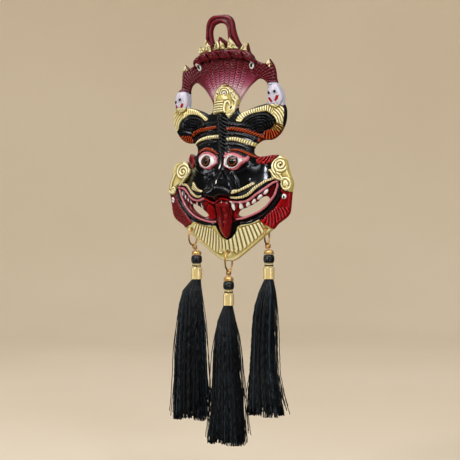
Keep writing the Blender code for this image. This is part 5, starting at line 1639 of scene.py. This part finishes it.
# %% Turned forms
def turned_form(name, middle, profile, radius_at, materials, number_at=None, sides=72, sharp=40):
    """A form turned round an upright axis. radius_at(radius, height, turn) shapes it round the axis."""
    spots = []
    for radius, height in profile:
        for s in range(sides):
            turn = 2 * math.pi * s / sides
            reach = radius_at(radius, height, turn)
            spots.append(middle + Vector((reach * math.cos(turn), reach * math.sin(turn), height)))
    faces = []
    numbers = []
    for row in range(len(profile) - 1):
        for s in range(sides):
            after = (s + 1) % sides
            here, there = row * sides, (row + 1) * sides
            faces.append((here + s, there + s, there + after, here + after))
            numbers.append(number_at(profile[row][1]) if number_at else 0)
    for base, order in ((0, 1), ((len(profile) - 1) * sides, -1)):
        faces.append(tuple(range(base, base + sides))[::order])
        numbers.append(0)
    return add_mesh(name, spots, faces, materials, numbers, sharp)


def bulging_profile(end_radius, radius, height, steps):
    """A bulging profile, top to bottom, about the middle of its height."""
    line = []
    for k in range(steps + 1):
        up = 1 - 2 * k / steps
        line.append((end_radius + (radius - end_radius) * (1 - abs(up) ** 2.4) ** 0.5, up * height / 2))
    return line


def trim_sizes(node):
    """The middle, radius and height of a turned solid."""
    middle, span = box_middle(node)
    return middle, max(span.x, span.y) / 2, span.z


print("left bead radius and height", [round(s, 4) for s in trim_sizes("black_bead_left")[1:]])

# %% [markdown]
# From top to bottom hang a domed cap with a band of pearls, a bead wound with nine turns of thread, a
# spacer with a row of cut stones, and a plain sleeve with a slightly dented wall.

# %% Caps, beads, spacers and sleeves
CAP_DRAWN_RADIUS = 4.8
CAP_DOME = [(1.2, 0.5), (2.2, 0.46), (3.1, 0.36), (3.8, 0.24), (4.2, 0.12), (4.4, 0.06)]
PEARLS = 7
BEAD_TURNS = 9
WINDING_RIDGE = 0.00016
STONES = 11
SPACER_PROFILE = [(0.8, 0.5), (1.0, 0.44), (1.0, 0.34), (0.9, 0.28), (0.93, 0.14), (0.97, 0.0), (0.93, -0.14),
                  (0.9, -0.28), (1.0, -0.34), (1.0, -0.44), (0.8, -0.5)]
SLEEVE_PROFILE = [(0.62, 0.5), (0.9, 0.5), (0.97, 0.485), (1.0, 0.45), (0.985, 0.40), (0.985, -0.40),
                  (1.0, -0.46), (0.985, -0.5), (0.93, -0.5)]


def build_cap(side):
    middle, radius, height = trim_sizes(f"bead_cap_{side}")
    dome = [(r * radius / CAP_DRAWN_RADIUS, h * height) for r, h in CAP_DOME]
    band = [(radius * (0.93 + 0.07 * math.sin(math.pi * k / 8)), height * (0.04 - 0.34 * k / 8))
            for k in range(9)]
    rim = [(radius * 0.9, height * -0.33), (radius, height * -0.38), (radius, height * -0.46),
           (radius * 0.86, height * -0.5)]

    def pearls(reach, up, turn):
        in_band = math.exp(-((up / height + 0.13) / 0.12) ** 2)
        return reach - 0.09 * radius * in_band * (1 - abs(math.sin(PEARLS * turn)) ** 0.7)

    made = turned_form(f"cap_{side}", middle, dome + band + rim, pearls, [CAP_PLATE])
    return settle(made, "gold_trim", f"bead_cap_{side}")


def build_bead(side):
    middle, radius, height = trim_sizes(f"black_bead_{side}")

    def windings(reach, up, turn):
        wound = BEAD_TURNS * up / height + turn / math.pi + 0.3 * math.sin(2 * turn)
        return reach - WINDING_RIDGE * math.sin(math.pi * wound) ** 2

    made = turned_form(f"bead_{side}", middle, bulging_profile(0.66 * radius, radius, height, 46), windings,
                       [WOUND])
    return settle(made, "black_bead", f"black_bead_{side}")


def build_spacer(side):
    middle, radius, height = trim_sizes(f"spacer_ring_{side}")
    profile = [(r * radius, h * height) for r, h in SPACER_PROFILE]

    def facets(reach, up, turn):
        flat = abs((turn * STONES / (2 * math.pi)) % 1 - 0.5) * 2
        return reach + (0.05 * radius * (0.5 - flat) if abs(up) < 0.27 * height else 0)

    made = turned_form(f"spacer_{side}", middle, profile, facets, [PLATE, SPARKLE],
                       lambda up: 1 if abs(up) < 0.28 * height else 0, 88, 12)
    return settle(made, "gold_trim", f"spacer_ring_{side}")


def build_sleeve(side):
    middle, radius, height = trim_sizes(f"tassel_sleeve_{side}")
    profile = [(r * radius, h * height) for r, h in SLEEVE_PROFILE]
    dents = [math.sin(k + middle.x * 300) * 0.006 for k in range(3)]

    def hammered(reach, up, turn):
        return reach * (1 + sum(d * math.sin((k + 2) * turn + 3 * k) for k, d in enumerate(dents)) * 0.6)

    made = turned_form(f"sleeve_{side}", middle, profile, hammered, [PLATE], None, 96, 30)
    return settle(made, "gold_trim", f"tassel_sleeve_{side}")


for side in SIDES:
    build_cap(side)
    build_bead(side)
    build_spacer(side)
    build_sleeve(side)
print("trims and beads", 4 * len(SIDES))

# %% [markdown]
# A tassel's skirt is a bundle of single silk threads, tied inside the sleeve and cut off below. Hair
# particles would be lost on export, so the threads are meshes. Each bundle has a shape of its own, given
# as its half width and its shift to the side on the way down. First come those shapes, and the dark core
# that fills what the threads leave.

# %% Shapes of the skirts
CORE_LEVELS = 20
CORE_SIDES = 28
CORE_SHARE = 0.82
CORE_LENGTH = 0.93
SKIRT_NECK_RADIUS = 0.0046
# How each tassel hangs: share of the way down, half width and sideways shift in millimetres
SKIRT_SHAPES = {
    "left": [(0, 4.6, -0.3), (0.08, 10.2, -3.2), (0.17, 12.5, -3.6), (0.3, 14.4, -3.0), (0.45, 15.8, -3.2),
             (0.7, 17.8, -2.8), (1, 18.9, -2.2)],
    "centre": [(0, 4.6, -0.5), (0.11, 8.6, -1.8), (0.22, 11.4, -1.0), (0.33, 12.9, -0.9), (0.47, 13.7, -0.7),
               (0.62, 15.8, 0.8), (0.82, 18.4, 1.6), (1, 19.8, 1.7)],
    "right": [(0, 4.6, 0), (0.09, 8.0, -1.3), (0.2, 10.2, -2.9), (0.3, 10.9, -3.7), (0.52, 11.5, -4.4),
              (0.67, 13.2, -4.0), (0.8, 15.6, -2.2), (0.9, 17.2, -0.8), (1, 18.6, 0.6)],
}


def skirt_section(side, down, top, length, half_depth):
    """Middle, half width and half depth of the skirt at each share of the way down."""
    shares, widths, shifts = np.array(SKIRT_SHAPES[side], float).T
    wide = np.interp(down, shares, widths) * MM
    fullness = (wide - SKIRT_NECK_RADIUS) / (widths[-1] * MM - SKIRT_NECK_RADIUS)
    deep = SKIRT_NECK_RADIUS + (half_depth - SKIRT_NECK_RADIUS) * fullness
    x = top[0] + np.interp(down, shares, shifts) * MM
    return x, top[1] + SKIRT_NECK_RADIUS - deep, top[2] - length * down, wide, deep


def skirt_core(side, top, length, half_depth):
    """The closed dark core that fills the bundle."""
    sides = CORE_SIDES
    spots = []
    for level in range(CORE_LEVELS + 1):
        down = CORE_LENGTH * level / CORE_LEVELS
        x, y, z, wide, deep = skirt_section(side, down, top, length, half_depth)
        spots += [(x + CORE_SHARE * wide * math.cos(t), y + CORE_SHARE * deep * math.sin(t), z)
                  for t in np.linspace(0, 2 * math.pi, sides, endpoint=False)]
    faces = [(level * sides + s, level * sides + (s + 1) % sides, (level + 1) * sides + (s + 1) % sides,
              (level + 1) * sides + s) for level in range(CORE_LEVELS) for s in range(sides)]
    faces.append(tuple(range(sides))[::-1])
    faces.append(tuple(range(CORE_LEVELS * sides, (CORE_LEVELS + 1) * sides)))
    return spots, faces


print("widest skirt", 2 * max(wide for shape in SKIRT_SHAPES.values() for _, wide, _ in shape), "mm")

# %% [markdown]
# Each thread starts at the neck and swings out to its own place at the foot, drawn a little towards its
# clump. Most threads lie near the surface of the bundle. One in eight strays, bowing out and flaring at
# the foot. All of them crinkle, as silk does that has been unwound from a card.


# %% Routes of the threads
THREADS = 430
THREAD_RADIUS = 0.00042
THREAD_STEPS = 60
CRINKLE = 0.00038
CRINKLE_WAVE = 0.0085
SKIRT_CLUMPS = 34
STRAY_SHARE = 0.12
FLARE_START = 0.72
WALL_LIMIT = 0.97


def thread_routes(side, seed, top, length, half_depth):
    """The points of every thread, and the tone of each, which also carries painted sheen."""
    rng = np.random.default_rng(seed)
    turn = rng.uniform(0, 2 * math.pi, THREADS)
    ring = np.sqrt(rng.uniform(0.5, 1.0, THREADS))
    clump = np.floor(turn / (2 * math.pi) * SKIRT_CLUMPS).astype(int)
    clump_turn = (clump + 0.5) * 2 * math.pi / SKIRT_CLUMPS
    clump_reach = rng.uniform(0.9, 1.02, SKIRT_CLUMPS)[clump]
    foot_turn = turn + 0.4 * (clump_turn - turn) + rng.normal(0, 0.07, THREADS)
    foot_ring = np.clip(ring * clump_reach + rng.normal(0, 0.03, THREADS), 0, 1.0)
    stray = rng.random(THREADS) < STRAY_SHARE
    foot_ring = np.where(stray, foot_ring * rng.uniform(1.02, 1.3, THREADS), foot_ring)
    bow = np.where(stray, rng.uniform(-0.001, 0.005, THREADS), rng.normal(0, 0.0005, THREADS))
    reach_down = 1 - np.abs(rng.normal(0, 0.026, THREADS)) - np.where(stray, rng.uniform(0, 0.1, THREADS), 0)
    reach_down = np.minimum(reach_down + 0.014 * np.sin(3 * foot_turn + seed), 1.0)
    flare = np.abs(rng.normal(0, 0.05, THREADS)) * np.where(stray, 3, 1)
    crinkle = rng.uniform(0.4, 1.4, THREADS) * np.where(stray, 0.3, 1.0) * CRINKLE
    crinkle_wave = rng.uniform(0.75, 1.4, THREADS) * CRINKLE_WAVE
    phase = rng.uniform(0, 2 * math.pi, (2, THREADS))
    tone = rng.beta(1.1, 2.2, THREADS)
    routes = np.zeros((THREADS, THREAD_STEPS + 1, 3))
    for k, share in enumerate(np.linspace(0, 1, THREAD_STEPS + 1)):
        down = share * reach_down
        x, y, z, wide, deep = skirt_section(side, down, top, length, half_depth)
        blend = soft_step(share * 1.6)
        a = turn * (1 - blend) + foot_turn * blend
        r = ring * (1 - blend) + foot_ring * blend
        r = r * (1 + flare * max(0, share - FLARE_START) / (1 - FLARE_START))
        out = bow * math.sin(math.pi * min(1, share * 1.1))
        along = 2 * math.pi * (top[2] - z) / crinkle_wave
        settled = min(1, 3 * share)
        routes[:, k, 0] = (x + ((wide - THREAD_RADIUS) * r + out) * np.cos(a)
                           + settled * crinkle * np.sin(along + phase[0]))
        routes[:, k, 1] = (y + ((deep - THREAD_RADIUS) * np.minimum(r, WALL_LIMIT)) * np.sin(a)
                           + settled * crinkle * np.sin(along * 0.8 + phase[1]))
        routes[:, k, 2] = z
    return routes, tone


print("threads in each skirt", THREADS)

# %% [markdown]
# Real threads are about 0.3 mm thick. These are 0.84 mm, as coarse as they need to be to show one by one,
# and there are fewer of them. Three sides are enough for a tube so thin, and keep the piece light. The
# tone of each thread, partly painted blue sheen, goes with its points, for the material to read.


# %% Skirts of thread
THREAD_SIDES = 3


def build_skirt(side, seed):
    low, high = (np.array(corner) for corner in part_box(f"tassel_skirt_{side}"))
    sleeve, _ = box_middle(f"tassel_sleeve_{side}")
    length = high[2] - low[2]
    top = (sleeve.x, sleeve.y, high[2])
    half_depth = (high[1] - low[1]) / 2 + 0.0003
    routes, tone = thread_routes(side, seed, top, length, half_depth)
    corner = np.arange(THREAD_SIDES) * 2 * math.pi / THREAD_SIDES
    offset = np.column_stack([np.cos(corner), np.sin(corner), np.zeros(THREAD_SIDES)]) * THREAD_RADIUS
    spots = (routes[:, :, None, :] + offset[None, None]).reshape(-1, 3)
    per_thread = (THREAD_STEPS + 1) * THREAD_SIDES
    faces = []
    for k in range(THREAD_STEPS):
        for s in range(THREAD_SIDES):
            here, there = k * THREAD_SIDES, (k + 1) * THREAD_SIDES
            after = (s + 1) % THREAD_SIDES
            faces.append((here + s, here + after, there + after, there + s))
    first_points = np.arange(THREADS) * per_thread
    every = (np.array(faces)[None] + first_points[:, None, None]).reshape(-1, 4)
    last = THREAD_STEPS * THREAD_SIDES
    ends = np.arange(last, last + THREAD_SIDES)[None] + first_points[:, None]
    core_spots, core_faces = skirt_core(side, top, length, half_depth)
    base = len(spots)
    all_faces = [tuple(f) for f in every] + [tuple(f) for f in ends]
    all_faces += [tuple(v + base for v in f) for f in core_faces]
    made = add_mesh(f"silk_skirt_{side}", np.vstack([spots, core_spots]), all_faces, [THREAD], None, 180)
    attribute = made.data.attributes.new("tone", "FLOAT", "POINT")
    values = np.concatenate([np.repeat(tone, per_thread), np.zeros(len(core_spots))])
    attribute.data.foreach_set("value", values.astype(np.float32))
    return settle(made, "black_silk", f"tassel_skirt_{side}")


FIRST_SEED = 3
for seed, side in enumerate(SIDES, FIRST_SEED):
    skirt = build_skirt(side, seed)
    print(skirt.name, "faces", len(skirt.data.polygons))
